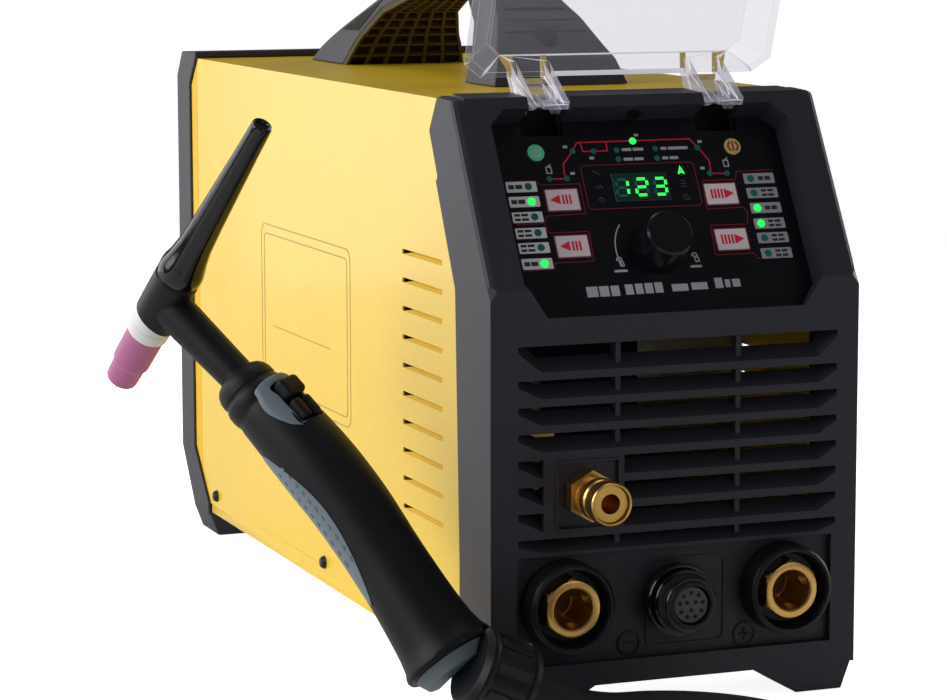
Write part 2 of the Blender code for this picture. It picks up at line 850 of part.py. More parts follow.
def make_fan():
    place = at(0, 0.478, FAN_Z) @ REAR
    rotor = cylinder("fan_rotor", 0.018, -0.010, 0.012, BLACK, place, sides=20)
    for number in range(7):
        turn = Matrix.Rotation(2 * math.pi * number / 7, 4, "Z")
        twist = Matrix.Rotation(math.radians(35), 4, "X")
        blade = box(
            "blade",
            (0.010, -0.0130, -0.0009),
            (0.052, 0.0130, 0.0009),
            None,
            place @ turn @ twist,
            cutters,
        )
        join(rotor, blade)
    cut(rotor, helper_cylinder(0.0035, -0.02, 0.006, place, sides=12))
    motor = box(
        "fan_frame", (-0.0590, 0.4555, FAN_Z - 0.0590), (0.0590, 0.4965, FAN_Z + 0.0590), BLACK
    )
    cut(motor, helper_cylinder(0.0560, -0.03, 0.03, place, sides=40))
    join(motor, helper_box((-0.0575, 0.4557, FAN_Z - 0.004), (0.0575, 0.4580, FAN_Z + 0.004)))
    axle = along((0, 0.4570, FAN_Z), (0, 1, 0))
    join(motor, helper_cylinder(0.0030, 0.0, 0.0235, axle, sides=12))


# ---------------------------------------------------------------- inside


def make_inside():
    sink = box("heat_sink", (-0.0300, 0.200, 0.0160), (0.0300, 0.400, 0.0900), ALUMINIUM)
    fins = [
        helper_box((-0.0270 + 0.0095 * k, 0.19, 0.03), (-0.0220 + 0.0095 * k, 0.41, 0.095))
        for k in range(6)
    ]
    cut(sink, joined("cutter", fins, cutters))
    box("power_board", (-0.0780, 0.110, 0.1970), (0.0780, 0.430, 0.1988), BOARD)
    box("transformer", (0.0330, 0.210, 0.0160), (0.0840, 0.290, 0.0860), COPPER, rounding=0.004)
    valve = box("gas_valve", (-0.0600, 0.070, 0.0900), (-0.0330, 0.098, 0.1200), BRASS)
    join(valve, helper_cylinder(0.0110, 0.1190, 0.1500, at(-0.0465, 0.084, 0), sides=20))
    join(valve, helper_cylinder(0.0045, 0.0, 0.0500, along((-0.0455, 0.030, GAS_Z), (0, 1, 0)), 12))


# ---------------------------------------------------------------- handle

HANDLE_SIDE = [
    (0.140, 0.2818),
    (0.182, 0.2818),
    (0.184, 0.295),
    (0.200, 0.311),
    (0.225, 0.323),
    (0.265, 0.328),
    (0.310, 0.324),
    (0.345, 0.314),
    (0.362, 0.300),
    (0.374, 0.2818),
    (0.430, 0.2818),
    (0.419, 0.290),
    (0.395, 0.302),
    (0.367, 0.314),
    (0.340, 0.326),
    (0.305, 0.338),
    (0.265, 0.343),
    (0.225, 0.338),
    (0.191, 0.326),
    (0.169, 0.314),
    (0.154, 0.300),
    (0.146, 0.294),
]
HANDLE_WIDTHS = ((0.2818, 0.0360), (0.295, 0.0315), (0.314, 0.0225), (0.326, 0.0165), (0.343, 0.0130))


def handle_half_width(z):
    for (low, wide), (high, narrow) in zip(HANDLE_WIDTHS, HANDLE_WIDTHS[1:]):
        if z <= high:
            return wide + (narrow - wide) * max(0.0, (z - low) / (high - low))
    return HANDLE_WIDTHS[-1][1]


def make_handle():
    """An arch, wide at its two feet and narrow at the grip."""
    mesh = drawn(HANDLE_SIDE, -0.5, 0.5)
    mesh.transform(SIDE)
    shape = bmesh.new()
    shape.from_mesh(mesh)
    for level, _ in HANDLE_WIDTHS[1:-1]:
        bmesh.ops.bisect_plane(
            shape,
            geom=shape.verts[:] + shape.edges[:] + shape.faces[:],
            plane_co=(0, 0, level),
            plane_no=(0, 0, 1),
            dist=1e-6,
        )
    for vertex in shape.verts:
        vertex.co.x *= 2 * handle_half_width(vertex.co.z)
    bmesh.ops.remove_doubles(shape, verts=shape.verts, dist=1e-6)
    handle = from_bmesh(shape, "handle", CHARCOAL)
    cut(handle, helper_cylinder(0.0058, 0.2880, 0.33, at(0, 0.160, 0), sides=20))
    cut(handle, helper_cylinder(0.0024, 0.27, 0.33, at(0, 0.160, 0), sides=12))
    screw = [(0, 0.0045), (0.0040, 0.0045), (0.0048, 0.0035), (0.0048, GAP), (0.0020, GAP)]
    turned(
        "handle_screw", screw + [(0.0020, -0.012), (0, -0.012)], BLACK, at(0, 0.160, 0.2880), 20
    )


# ---------------------------------------------------------------- torch

HEAD = Vector((-0.2139, 0.1001, 0.1930))
CAP_WAY = Vector((0.24, -0.61, 0.755)).normalized()
LIP_SIDE = Vector((0.9222, -0.0998, -0.3736))
GRIP = (
    ((-0.1189, -0.0186, 0.0364), 0.0215),
    ((-0.1268, -0.0079, 0.0517), 0.0188),
    ((-0.1383, 0.0088, 0.0759), 0.0175),
    ((-0.1501, 0.0255, 0.0995), 0.0180),
    ((-0.1618, 0.0402, 0.1185), 0.0182),
    ((-0.1738, 0.0544, 0.1356), 0.0170),
    ((-0.1827, 0.0638, 0.1458), 0.0148),
    ((-0.1897, 0.0720, 0.1558), 0.0122),
)
BALL = Vector((-0.1128, -0.0262, 0.0318))
NUT = Vector((-0.1025, -0.0320, 0.0300))
NUT_WAY = Vector((0.90, -0.05, -0.43)).normalized()


def bent_bar(name, points, look, sides=3):
    """A round bar through (place, radius) points, as a mesh."""
    curve = bpy.data.curves.new(name, "CURVE")
    curve.dimensions = "3D"
    curve.bevel_depth = 1.0
    curve.bevel_resolution = sides
    curve.use_fill_caps = True
    spline = curve.splines.new("POLY")
    spline.points.add(len(points) - 1)
    for point, (place, radius) in zip(spline.points, points):
        point.co = (*place, 1)
        point.radius = radius
    holder = bpy.data.objects.new(name, curve)
    cutters.objects.link(holder)
    mesh = evaluated_mesh(holder)
    bpy.data.objects.remove(holder)
    shape = bmesh.new()
    shape.from_mesh(mesh)
    return from_bmesh(shape, name, look)


def make_torch_head():
    place = along(HEAD, CAP_WAY)
    head = turned(
        "torch_head",
        [
            (0, 0.0102),
            (0.0100, 0.0102),
            (0.0108, 0.0090),
            (0.0108, -0.0210),
            (0, -0.0210),
        ],
        RUBBER,
        place,
        28,
    )
    lip = HEAD - 0.0174 * CAP_WAY
    tilt = Matrix.Translation(lip) @ (CAP_WAY + 0.291 * LIP_SIDE).to_track_quat("Z", "Y").to_matrix().to_4x4()
    neck_end = Vector(GRIP[-1][0])
    neck = HEAD - 0.006 * CAP_WAY - neck_end
    join(
        head,
        helper_cylinder(0.0086, 0.0013, neck.length, along(neck_end, neck), 20, 0.0098),
    )
    cut(head, helper_cylinder(0.0101, -0.0300, -0.0125, place, 28))
    cut(head, helper_box((-0.03, -0.03, -0.02), (0.03, 0.03, 0), tilt))
    turned(
        "torch_insulator",
        [
            (0.0098, -0.0128),
            (0.0098, -0.0212),
            (0.0102, -0.0220),
            (0.0100, -0.0274),
            (0.0062, -0.0274),
            (0.0062, -0.0128),
        ],
        WHITE_RING,
        place,
        28,
    )
    turned(
        "torch_nozzle",
        [
            (0.0062, -0.0277),
            (0.0092, -0.0277),
            (0.0090, -0.0470),
            (0.0080, -0.0482),
            (0.0076, -0.0590),
            (0.0066, -0.0600),
            (0.0052, -0.0600),
            (0.0052, -0.0310),
        ],
        CERAMIC,
        place,
        28,
    )
    turned(
        "torch_electrode",
        [
            (0.0045, -0.0128),
            (0.0045, -0.0380),
            (0.0012, -0.0400),
            (0.0012, -0.0620),
            (0.0002, -0.0660),
            (0, -0.0660),
        ],
        TUNGSTEN,
        place,
        16,
    )
    turned(
        "torch_back_cap",
        [
            (0, 0.1077),
            (0.0040, 0.1077),
            (0.0047, 0.1068),
            (0.0060, 0.0700),
            (0.0078, 0.0320),
            (0.0095, 0.0210),
            (0.0104, 0.0165),
            (0.0104, 0.0117),
            (0.0096, 0.0105),
            (0, 0.0105),
        ],
        GLOSS,
        place,
        24,
    )


def trigger_frame_way():
    """A frame on the grip's upper side, with local Z outward and local Y along the grip."""
    low, high = Vector(GRIP[3][0]), Vector(GRIP[6][0])
    lengthwise = (high - low).normalized()
    outward = Vector((0.343, -0.667, 0.659))
    outward = (outward - lengthwise * outward.dot(lengthwise)).normalized()
    across = lengthwise.cross(outward)
    turn = Matrix((across, lengthwise, outward)).transposed().to_4x4()
    return Matrix.Translation(low.lerp(high, 0.77)) @ turn


def make_torch_grip():
    grip = bent_bar("torch_grip", GRIP, RUBBER, 4)
    cut(grip, helper_cylinder(0.0198, -0.0150, 0.03, along(NUT, NUT_WAY), 28))
    place = trigger_frame_way()
    cut(grip, helper_box((-0.0094, -0.0159, 0.0110), (0.0094, 0.0159, 0.03), place))
    frame = box("torch_trigger_frame", (-0.0090, -0.0155, 0.0114), (0.0090, 0.0155, 0.0172), GREY, place)
    wells = [
        helper_box((-0.0068, 0.0016, 0.0132), (0.0068, 0.0120, 0.03), place),
        helper_box((-0.0064, -0.0107, 0.0132), (-0.0001, 0.0010, 0.03), place),
        helper_box((0.0001, -0.0107, 0.0132), (0.0064, 0.0010, 0.03), place),
    ]
    cut(frame, joined("cutter", wells, cutters))
    box("torch_trigger", (-0.0065, 0.0019, 0.0150), (0.0065, 0.0117, 0.0222), BLACK, place, None, 0.0016)
    box("torch_up_key", (-0.0061, -0.0104, 0.0150), (-0.0004, 0.0007, 0.0206), BLACK, place, None, 0.0014)
    box("torch_down_key", (0.0004, -0.0104, 0.0150), (0.0061, 0.0007, 0.0206), BLACK, place, None, 0.0014)


def make_torch_end():
    """The swivel ball between grip and cable, and the nut that holds it."""
    low = Vector(GRIP[0][0])
    grip_way = (low - Vector(GRIP[1][0])).normalized()
    ball = cylinder(
        "torch_swivel_ball",
        0.0195,
        GAP,
        0.0060,
        GREY,
        along(low, grip_way),
        sides=24,
        tip=0.0165,
    )
    cut(ball, helper_cylinder(0.03, -0.0148, 0.03, along(NUT, NUT_WAY), 16))
    turned(
        "torch_end_nut",
        [
            (0, -0.0145),
            (0.0165, -0.0145),
            (0.0192, -0.0120),
            (0.0192, 0.0110),
            (0.0172, 0.0140),
            (0.0130, 0.0140),
            (0.0110, 0.0110),
            (0, 0.0110),
        ],
        BLACK,
        along(NUT, NUT_WAY),
        28,
    )


# ---------------------------------------------------------------- torch cable

# The cable's centre line from the nut to the coil, on the floor after its first bend.
ROUTE = (
    (-0.0917, -0.0326, 0.0249),
    (-0.0785, -0.0333, 0.0186),
    (-0.0650, -0.0338, 0.0130),
    (-0.0480, -0.0345, 0.0095),
    (-0.0309, -0.0367, 0.0092),
    (-0.0150, -0.0433, 0.0092),
    (-0.0013, -0.0538, 0.0092),
    (0.0092, -0.0675, 0.0092),
    (0.0158, -0.0834, 0.0092),
    (0.0185, -0.1005, 0.0092),
    (0.0205, -0.1250, 0.0092),
    (0.0250, -0.1550, 0.0092),
    (0.0300, -0.1870, 0.0092),
)
COIL_HEIGHT = 0.0378


def smooth(points, steps):
    """Points on a Catmull-Rom curve through the route's own points."""
    points = [Vector(point) for point in points]
    ends = [2 * points[0] - points[1], *points, 2 * points[-1] - points[-2]]
    made = []
    for a, b, c, d in zip(ends, ends[1:], ends[2:], ends[3:]):
        for step in range(steps):
            t = step / steps
            made.append(
                0.5
                * (
                    2 * b
                    + (c - a) * t
                    + (2 * a - 5 * b + 4 * c - d) * t**2
                    + (3 * b - a - 3 * c + d) * t**3
                )
            )
    made.append(points[-1])
    return made


def cord(name, route, radius, look, steps=2):
    curve = bpy.data.curves.new(name, "CURVE")
    curve.dimensions = "3D"
    curve.bevel_depth = radius
    curve.bevel_resolution = 2
    curve.use_fill_caps = True
    places = smooth(route, steps)
    spline = curve.splines.new("POLY")
    spline.points.add(len(places) - 1)
    for point, place in zip(spline.points, places):
        point.co = (*place, 1)
    made = bpy.data.objects.new(name, curve)
    curve.materials.append(look)
    parts.objects.link(made)
    return made


SPLIT_X = -0.2203
SPLIT_Y = -0.176
# The two tails' centre lines, from the splitter's corner of origin.
GAS_TAIL = (
    (-0.0140, 0.0384, 0.0085),
    (-0.0141, 0.0470, 0.0083),
    (-0.0155, 0.0610, 0.0060),
    (-0.0190, 0.0910, 0.0040),
    (-0.0235, 0.1160, 0.0044),
    (-0.0255, 0.1360, 0.0060),
    (-0.0257, 0.1525, 0.0062),
)
CONTROL_TAIL = (
    (0.0140, 0.0384, 0.0085),
    (0.0141, 0.0470, 0.0083),
    (0.0165, 0.0610, 0.0058),
    (0.0200, 0.0800, 0.0046),
    (0.0222, 0.0950, 0.0070),
    (0.0225, 0.1060, 0.0100),
    (0.0225, 0.1180, 0.0104),
)


def from_splitter(points):
    return [(SPLIT_X + x, SPLIT_Y + y, z) for x, y, z in points]


def make_cable():
    cord("torch_cable", ROUTE, CABLE_RADIUS, RUBBER)
    half = COIL_HALF
    turned(
        "torch_cable_coil",
        [
            (COIL_MIDDLE - half + 0.006, COIL_HEIGHT),
            (COIL_MIDDLE + half - 0.006, COIL_HEIGHT),
            (COIL_MIDDLE + half, COIL_HEIGHT - 0.009),
            (COIL_MIDDLE + half, 0.009),
            (COIL_MIDDLE + half - 0.006, 0.0003),
            (COIL_MIDDLE - half + 0.006, 0.0003),
            (COIL_MIDDLE - half, 0.009),
            (COIL_MIDDLE - half, COIL_HEIGHT - 0.009),
        ],
        RUBBER,
        at(*COIL_CENTRE, 0),
        40,
    )
    splitter = box(
        "cable_splitter",
        (SPLIT_X - 0.0220, SPLIT_Y, 0.0004),
        (SPLIT_X + 0.0220, SPLIT_Y + 0.0376, 0.0204),
        RUBBER,
        rounding=0.003,
    )
    neck = along((SPLIT_X, SPLIT_Y + 0.001, 0.0102), (0, 1, 0))
    join(splitter, helper_cylinder(0.0098, -0.0120, 0.0, neck, 20))
    plug_way = along((SPLIT_X, SPLIT_Y + 0.0379, 0.0135), (0, 1, 0))
    turned(
        "torch_plug",
        [
            (0, 0.0660),
            (0.0052, 0.0660),
            (0.0064, 0.0640),
            (0.0064, 0.0440),
            (0.0110, 0.0440),
            (0.0128, 0.0420),
            (0.0132, 0.0260),
            (0.0120, 0.0120),
            (0.0080, 0),
            (0, 0),
        ],
        BLACK,
        plug_way,
        24,
    )
    cord("gas_tail", from_splitter(GAS_TAIL), 0.0035, RUBBER)
    gas_end = along((SPLIT_X - 0.0257, SPLIT_Y + 0.1530, 0.0062), (0, 1, 0))
    turned(
        "gas_tail_nipple",
        [
            (0.0, 0.0290),
            (0.0040, 0.0290),
            (0.0044, 0.0230),
            (0.0035, 0.0220),
            (0.0035, 0.0160),
            (0.0060, 0.0150),
            (0.0060, 0.0060),
            (0.0045, 0),
            (0, 0),
        ],
        BRASS,
        gas_end,
        20,
    )
    cord("control_tail", from_splitter(CONTROL_TAIL), 0.0035, RUBBER)
    control_end = along((SPLIT_X + 0.0225, SPLIT_Y + 0.1186, 0.0104), (0, 1, 0))
    turned(
        "control_tail_plug",
        [
            (0.0070, 0.0400),
            (0.0085, 0.0400),
            (0.0085, 0.0330),
            (0.0100, 0.0320),
            (0.0100, 0.0160),
            (0.0080, 0.0140),
            (0.0060, 0),
            (0, 0),
            (0, 0.0320),
            (0.0070, 0.0320),
        ],
        BLACK,
        control_end,
        24,
    )


CORD_PARTS = (
    "torch_cable",
    "torch_cable_coil",
    "cable_splitter",
    "torch_plug",
    "gas_tail",
    "gas_tail_nipple",
    "control_tail",
    "control_tail_plug",
)


def centre_on_base():
    """Moves everything so that the origin is the bottom centre of machine and torch."""
    bpy.context.view_layer.update()
    own = [obj for obj in parts.objects if obj.name not in CORD_PARTS]
    corners = [vertex.co for obj in own for vertex in obj.data.vertices]
    low = [min(corner[axis] for corner in corners) for axis in range(3)]
    high = [max(corner[axis] for corner in corners) for axis in range(3)]
    shift = Vector((-(low[0] + high[0]) / 2, -(low[1] + high[1]) / 2, -low[2]))
    base = bpy.data.objects.new("base_point", None)
    base.location = shift
    bpy.context.scene.collection.objects.link(base)
    for obj in parts.objects:
        obj.parent = base
    print("shift", tuple(round(value, 6) for value in shift))


def shade_round_parts():
    for obj in parts.objects:
        if obj.type == "MESH":
            obj.data.shade_smooth()
            obj.data.set_sharp_from_angle(angle=math.radians(32))


make_bezel()
make_control_panel()
make_encoder()
make_clear_cover()
make_dinse(-1, "negative")
make_dinse(1, "positive")
make_control_socket()
make_gas_coupling()
make_top_cover()
make_cover_screws()
make_base_tray()
make_rear_bezel()
make_rear_panel()
make_rear_fittings()
make_fan()
make_inside()
make_handle()
make_torch_head()
make_torch_grip()
make_torch_end()
make_cable()
centre_on_base()
shade_round_parts()
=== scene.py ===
"""Looks for the TIG welding inverter with its torch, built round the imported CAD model.

Lengths are in metres. A point is given in the machine's own frame: X = 0 on its middle plane, Y = 0 on
its lower front face, Z = 0 on the floor. BASE takes that frame to the model's.
"""

import json
import math

import bmesh
import bpy
from mathutils import Matrix, Vector

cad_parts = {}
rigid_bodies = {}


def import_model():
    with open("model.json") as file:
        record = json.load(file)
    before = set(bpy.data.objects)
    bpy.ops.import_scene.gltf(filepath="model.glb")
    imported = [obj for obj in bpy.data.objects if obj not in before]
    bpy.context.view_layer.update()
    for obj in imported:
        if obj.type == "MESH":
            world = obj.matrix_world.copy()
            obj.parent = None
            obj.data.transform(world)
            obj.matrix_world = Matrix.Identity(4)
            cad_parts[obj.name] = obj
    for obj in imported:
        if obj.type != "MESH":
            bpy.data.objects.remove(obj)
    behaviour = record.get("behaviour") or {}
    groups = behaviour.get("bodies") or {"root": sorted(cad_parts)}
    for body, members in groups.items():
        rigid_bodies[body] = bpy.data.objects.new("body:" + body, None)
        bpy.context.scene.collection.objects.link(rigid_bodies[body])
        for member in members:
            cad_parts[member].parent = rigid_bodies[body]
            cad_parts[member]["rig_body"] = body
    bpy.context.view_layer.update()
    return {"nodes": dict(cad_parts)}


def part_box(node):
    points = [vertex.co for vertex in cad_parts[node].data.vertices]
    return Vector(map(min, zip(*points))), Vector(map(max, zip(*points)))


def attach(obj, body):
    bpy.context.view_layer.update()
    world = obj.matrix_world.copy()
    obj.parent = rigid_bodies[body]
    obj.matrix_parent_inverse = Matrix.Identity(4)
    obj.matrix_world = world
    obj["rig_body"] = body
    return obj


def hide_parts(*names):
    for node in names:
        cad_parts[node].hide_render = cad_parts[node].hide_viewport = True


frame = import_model()

bezel_low, bezel_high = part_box("front_bezel")
BASE = Matrix.Translation(((bezel_low.x + bezel_high.x) / 2, bezel_low.y, bezel_low.z))

# The sloping panel.
BREAK_Z = 0.1985  # where the slope starts
SLOPE_RUN = 0.0495
SLOPE_RISE = 0.084
slope_length = math.hypot(SLOPE_RUN, SLOPE_RISE)
slope_up = Vector((0, SLOPE_RUN, SLOPE_RISE)) / slope_length
slope_out = Vector((0, -SLOPE_RISE, SLOPE_RUN)) / slope_length

def at(x, y, z):
    return Matrix.Translation((x, y, z))


def axes(x, y, z):
    """A frame whose local X, Y and Z point along these."""
    return Matrix((x, y, z)).transposed().to_4x4()


# Frames of the machine's faces: local Z points out of the front, the rear, the right and the slope.
FRONT = BASE @ axes((1, 0, 0), (0, 0, 1), (0, -1, 0))
REAR = BASE @ axes((-1, 0, 0), (0, 0, 1), (0, 1, 0))
SIDE = BASE @ axes((0, 1, 0), (0, 0, 1), (1, 0, 0))
SLOPE = BASE @ at(0, 0, BREAK_Z) @ axes((1, 0, 0), slope_up, slope_out)
MEMBRANE = -0.015  # the panel's face, along SLOPE's Z
COVER_HALF = 0.0915  # half the sheet cover's width
MM = 0.001


def along(start, direction):
    """A frame at start, in the machine's frame, whose local Z points along direction."""
    turn = Vector(direction).to_track_quat("Z", "Y").to_matrix().to_4x4()
    return BASE @ Matrix.Translation(start) @ turn


def add_object(name, data):
    made = bpy.data.objects.new(name, data)
    bpy.context.scene.collection.objects.link(made)
    return made


# ---------------------------------------------------------------- camera and light


def make_camera():
    """The photograph's view."""
    data = bpy.data.cameras.new("camera")
    data.sensor_width = 36
    data.sensor_fit = "HORIZONTAL"
    data.lens = 119.75
    data.clip_end = 50
    camera = add_object("camera", data)
    right = Vector((0.93337, -0.35892, -0.00182))
    up = Vector((0.05257, 0.13170, 0.98989))
    view = Vector((0.35505, 0.92403, -0.14179))
    camera.matrix_world = BASE @ at(-0.60306, -1.30619, 0.37346) @ axes(right, up, -view)
    bpy.context.scene.camera = camera


def area_light(name, place, target, size, power):
    data = bpy.data.lights.new(name, "AREA")
    data.shape = "RECTANGLE"
    data.size, data.size_y = size
    data.energy = power
    light = add_object(name, data)
    light.location = BASE @ Vector(place)
    aim = BASE @ Vector(target) - light.location
    light.rotation_euler = aim.to_track_quat("-Z", "Y").to_euler()


def make_lights():
    """A white background that lights little, and five soft lamps round the machine."""
    world = bpy.data.worlds.new("studio")
    bpy.context.scene.world = world
    world.use_nodes = True
    tree = world.node_tree
    background = set_inputs(tree.nodes["Background"], Color=(1, 1, 1, 1))
    path = tree.nodes.new("ShaderNodeLightPath")
    strength = add_node(tree, "ShaderNodeMapRange", To_Min=0.10, To_Max=1.0)
    link(tree, path, "Is Camera Ray", strength, "Value")
    link(tree, strength, "Result", background, "Strength")
    area_light("key", (-2.0, 0.05, 0.95), (0, 0.2, 0.14), (1.5, 1.3), 24)
    area_light("sweep", (-2.2, 2.7, 0.8), (0, 0.3, 0.12), (3.2, 2.4), 53)
    area_light("fill", (0.7, -1.9, 1.0), (0, 0, 0.15), (1.0, 0.8), 3.4)
    area_light("top", (0.1, 0.6, 1.9), (0, 0.2, 0.2), (1.0, 1.0), 5)
    area_light("right", (2.3, 1.0, 0.8), (0, 0.3, 0.14), (1.6, 1.2), 26)
    view = bpy.context.scene.view_settings
    view.view_transform = "Standard"
    view.look = "None"


# ---------------------------------------------------------------- materials


def set_inputs(node, **values):
    for name, value in values.items():
        node.inputs[name.replace("_", " ")].default_value = value
    return node


def add_node(tree, kind, **values):
    return set_inputs(tree.nodes.new(kind), **values)


def link(tree, source, output, target, socket):
    tree.links.new(source.outputs[output], target.inputs[socket])


def finish(
    name,
    colour,
    rough=0.5,
    metallic=0.0,
    coat=0.0,
    grain=900,
    bump=0.1,
    tint=0.08,
    tint_scale=14,
    rough_spread=0.08,
    stretch=(1, 1, 1),
    gloss=0.5,
):
    """A Principled finish whose colour, gloss and relief vary as the real surface's do."""
    made = bpy.data.materials.new(name)
    made.use_nodes = True
    tree = made.node_tree
    shader = tree.nodes["Principled BSDF"]
    set_inputs(shader, Metallic=metallic, Coat_Weight=coat, Coat_Roughness=0.08)
    set_inputs(shader, IOR=1.5, Specular_IOR_Level=gloss)
    place = tree.nodes.new("ShaderNodeTexCoord")
    mapping = add_node(tree, "ShaderNodeMapping", Scale=stretch)
    link(tree, place, "Object", mapping, "Vector")
    broad = add_node(tree, "ShaderNodeTexNoise", Scale=tint_scale, Detail=4.0, Roughness=0.6)
    fine = add_node(tree, "ShaderNodeTexNoise", Scale=grain, Detail=2.0, Roughness=0.5)
    for texture in (broad, fine):
        link(tree, mapping, "Vector", texture, "Vector")
    ramp = tree.nodes.new("ShaderNodeValToRGB")
    ramp.color_ramp.elements[0].position = 0.3
    ramp.color_ramp.elements[1].position = 0.7
    ramp.color_ramp.elements[0].color = (*[c * (1 - tint) for c in colour], 1)
    ramp.color_ramp.elements[1].color = (*[min(1, c * (1 + tint)) for c in colour], 1)
    link(tree, broad, "Fac", ramp, "Fac")
    link(tree, ramp, "Color", shader, "Base Color")
    spread = add_node(
        tree,
        "ShaderNodeMapRange",
        To_Min=max(0.02, rough - rough_spread),
        To_Max=min(1, rough + rough_spread),
    )
    link(tree, fine, "Fac", spread, "Value")
    link(tree, spread, "Result", shader, "Roughness")
    if bump:
        relief = add_node(tree, "ShaderNodeBump", Strength=bump, Distance=0.0004)
        link(tree, fine, "Fac", relief, "Height")
        link(tree, relief, "Normal", shader, "Normal")
    return made


def printed(name, colour, rough=0.45):
    return finish(name, colour, rough, grain=1500, bump=0.04)


def glowing(name, colour, strength):
    made = finish(name, colour, 0.3, bump=0, tint=0.05)
    shader = made.node_tree.nodes["Principled BSDF"]
    set_inputs(shader, Emission_Color=(*colour, 1), Emission_Strength=strength)
    return made


def clear(name, colour, rough, veil):
    """A thin clear moulding: light passes straight through, more of it lost at glancing angles."""
    made = finish(name, colour, rough, bump=0, tint=0.02, rough_spread=0.02)
    tree = made.node_tree
    shader = tree.nodes["Principled BSDF"]
    through = add_node(tree, "ShaderNodeBsdfTransparent", Color=(0.955, 0.955, 0.975, 1))
    rim = add_node(tree, "ShaderNodeLayerWeight", Blend=0.22)
    share = add_node(tree, "ShaderNodeMapRange", To_Min=veil, To_Max=0.75)
    link(tree, rim, "Facing", share, "Value")
    mix = tree.nodes.new("ShaderNodeMixShader")
    link(tree, share, "Result", mix, "Fac")
    link(tree, through, "BSDF", mix, 1)
    link(tree, shader, "BSDF", mix, 2)
    link(tree, mix, "Shader", tree.nodes["Material Output"], "Surface")
    return made


CHARCOAL = finish("charcoal_moulding", (0.026, 0.024, 0.035), 0.5, grain=1500, bump=0.22, tint=0.1, gloss=0.4)
POCKET_BLACK = finish("membrane_black", (0.006, 0.0055, 0.009), 0.3, grain=2500, bump=0.05, gloss=0.25)
BLACK = finish("black_moulding", (0.010, 0.010, 0.013), 0.38, grain=1200, bump=0.12, gloss=0.3)
KNOB = finish("knob_black", (0.006, 0.006, 0.009), 0.22, grain=1200, bump=0.03, gloss=0.35)
CAP = finish("cap_black", (0.004, 0.004, 0.006), 0.14, grain=300, bump=0.03, gloss=0.45)
TORCH = finish("torch_black", (0.0055, 0.006, 0.0085), 0.46, grain=2200, bump=0.2, gloss=0.25)
SLEEVE = finish("cable_sleeve", (0.012, 0.012, 0.014), 0.72, grain=420, bump=0.7, tint=0.25, tint_scale=60)
RUBBER = finish("tail_rubber", (0.012, 0.012, 0.013), 0.6, grain=1500, bump=0.2)
YELLOW = finish("yellow_powder_coat", (0.93, 0.62, 0.028), 0.30, coat=0.12, grain=1300, bump=0.06, tint=0.02)
# Painted shade: a deeper, duller copy of the yellow paint for faces turned from the light.
YELLOW_PAINTED_SHADE = finish("yellow_painted_shade", (0.86, 0.52, 0.004), 0.45, grain=1300, bump=0.1, tint=0.03, gloss=0.2)
ENGRAVED = finish("badge_line", (0.50, 0.38, 0.09), 0.5, grain=900, bump=0.1)
ZINC = finish("zinc_plate", (0.60, 0.61, 0.62), 0.36, 1.0, grain=700, bump=0.08, stretch=(1, 6, 1))
BRASS = finish(
    "brass_turned", (0.80, 0.49, 0.14), 0.30, 1.0, grain=1600, bump=0.012, tint=0.06, tint_scale=60
)
# Painted shade: a darker brass for the shade at the bottom of the bores.
BRASS_IN_SHADE = finish(
    "brass_shade", (0.16, 0.10, 0.03), 0.5, 0.6, grain=1600, bump=0.05, tint=0.1, tint_scale=60
)
WHITE_KEY = finish("key_white", (0.95, 0.82, 0.87), 0.42, grain=1500, bump=0.05, tint=0.03)
GREEN_KEY = finish("key_green", (0.12, 0.80, 0.42), 0.4, grain=1500, bump=0.05)
GOLD_KEY = finish("key_gold", (0.72, 0.54, 0.20), 0.4, grain=1500, bump=0.05)
RED_PRINT = printed("print_red", (0.90, 0.016, 0.060))
RED_THIN = printed("print_red_thin", (0.32, 0.012, 0.030))
PRINT_WHITE = printed("print_white", (0.62, 0.62, 0.64))
PRINT_GREY = printed("print_grey", (0.52, 0.52, 0.57))
PRINT_DIM = printed("print_dim", (0.02, 0.075, 0.080))
LABEL_GREY = printed("label_grey", (0.88, 0.88, 0.92))
INK = printed("label_ink", (0.03, 0.03, 0.035), 0.5)
LAMP_OFF = finish("lamp_off", (0.008, 0.17, 0.15), 0.3, grain=900, bump=0.03)
LAMP_ON = glowing("lamp_on", (0.02, 0.85, 0.12), 1.1)
DIGIT = glowing("digit_on", (0.03, 0.95, 0.10), 1.25)
# Painted glow: unlit segments emit faintly for the light they reflect.
UNLIT_SEGMENT_GLOW = glowing("digit_off_painted_glow", (0.008, 0.11, 0.09), 0.25)
WINDOW = finish("display_glass", (0.004, 0.040, 0.036), 0.16, coat=0.3, grain=400, bump=0.02)
POLYCARBONATE = clear("clear_polycarbonate", (0.80, 0.80, 0.86), 0.12, 0.06)
CERAMIC = finish("nozzle_ceramic", (0.46, 0.135, 0.30), 0.5, grain=1400, bump=0.12, tint=0.05, tint_scale=90)
INSULATOR = finish("insulator_white", (0.80, 0.80, 0.79), 0.42, grain=900, bump=0.05, tint=0.03)
BLUE_GREY = finish("blue_grey_inlay", (0.155, 0.200, 0.232), 0.55, grain=2000, bump=0.12, tint=0.06)
TUNGSTEN = finish("tungsten_ground", (0.42, 0.42, 0.44), 0.35, 1.0, grain=2500, bump=0.1)
ALUMINIUM = finish(
    "aluminium_extruded", (0.72, 0.72, 0.74), 0.38, 1.0, grain=900, bump=0.08, stretch=(8, 1, 8)
)
BOARD = finish("board_lacquer", (0.02, 0.16, 0.06), 0.35, grain=500, bump=0.15)
COPPER = finish("copper_winding", (0.62, 0.30, 0.12), 0.33, 1.0, grain=400, bump=0.5, stretch=(1, 1, 12))
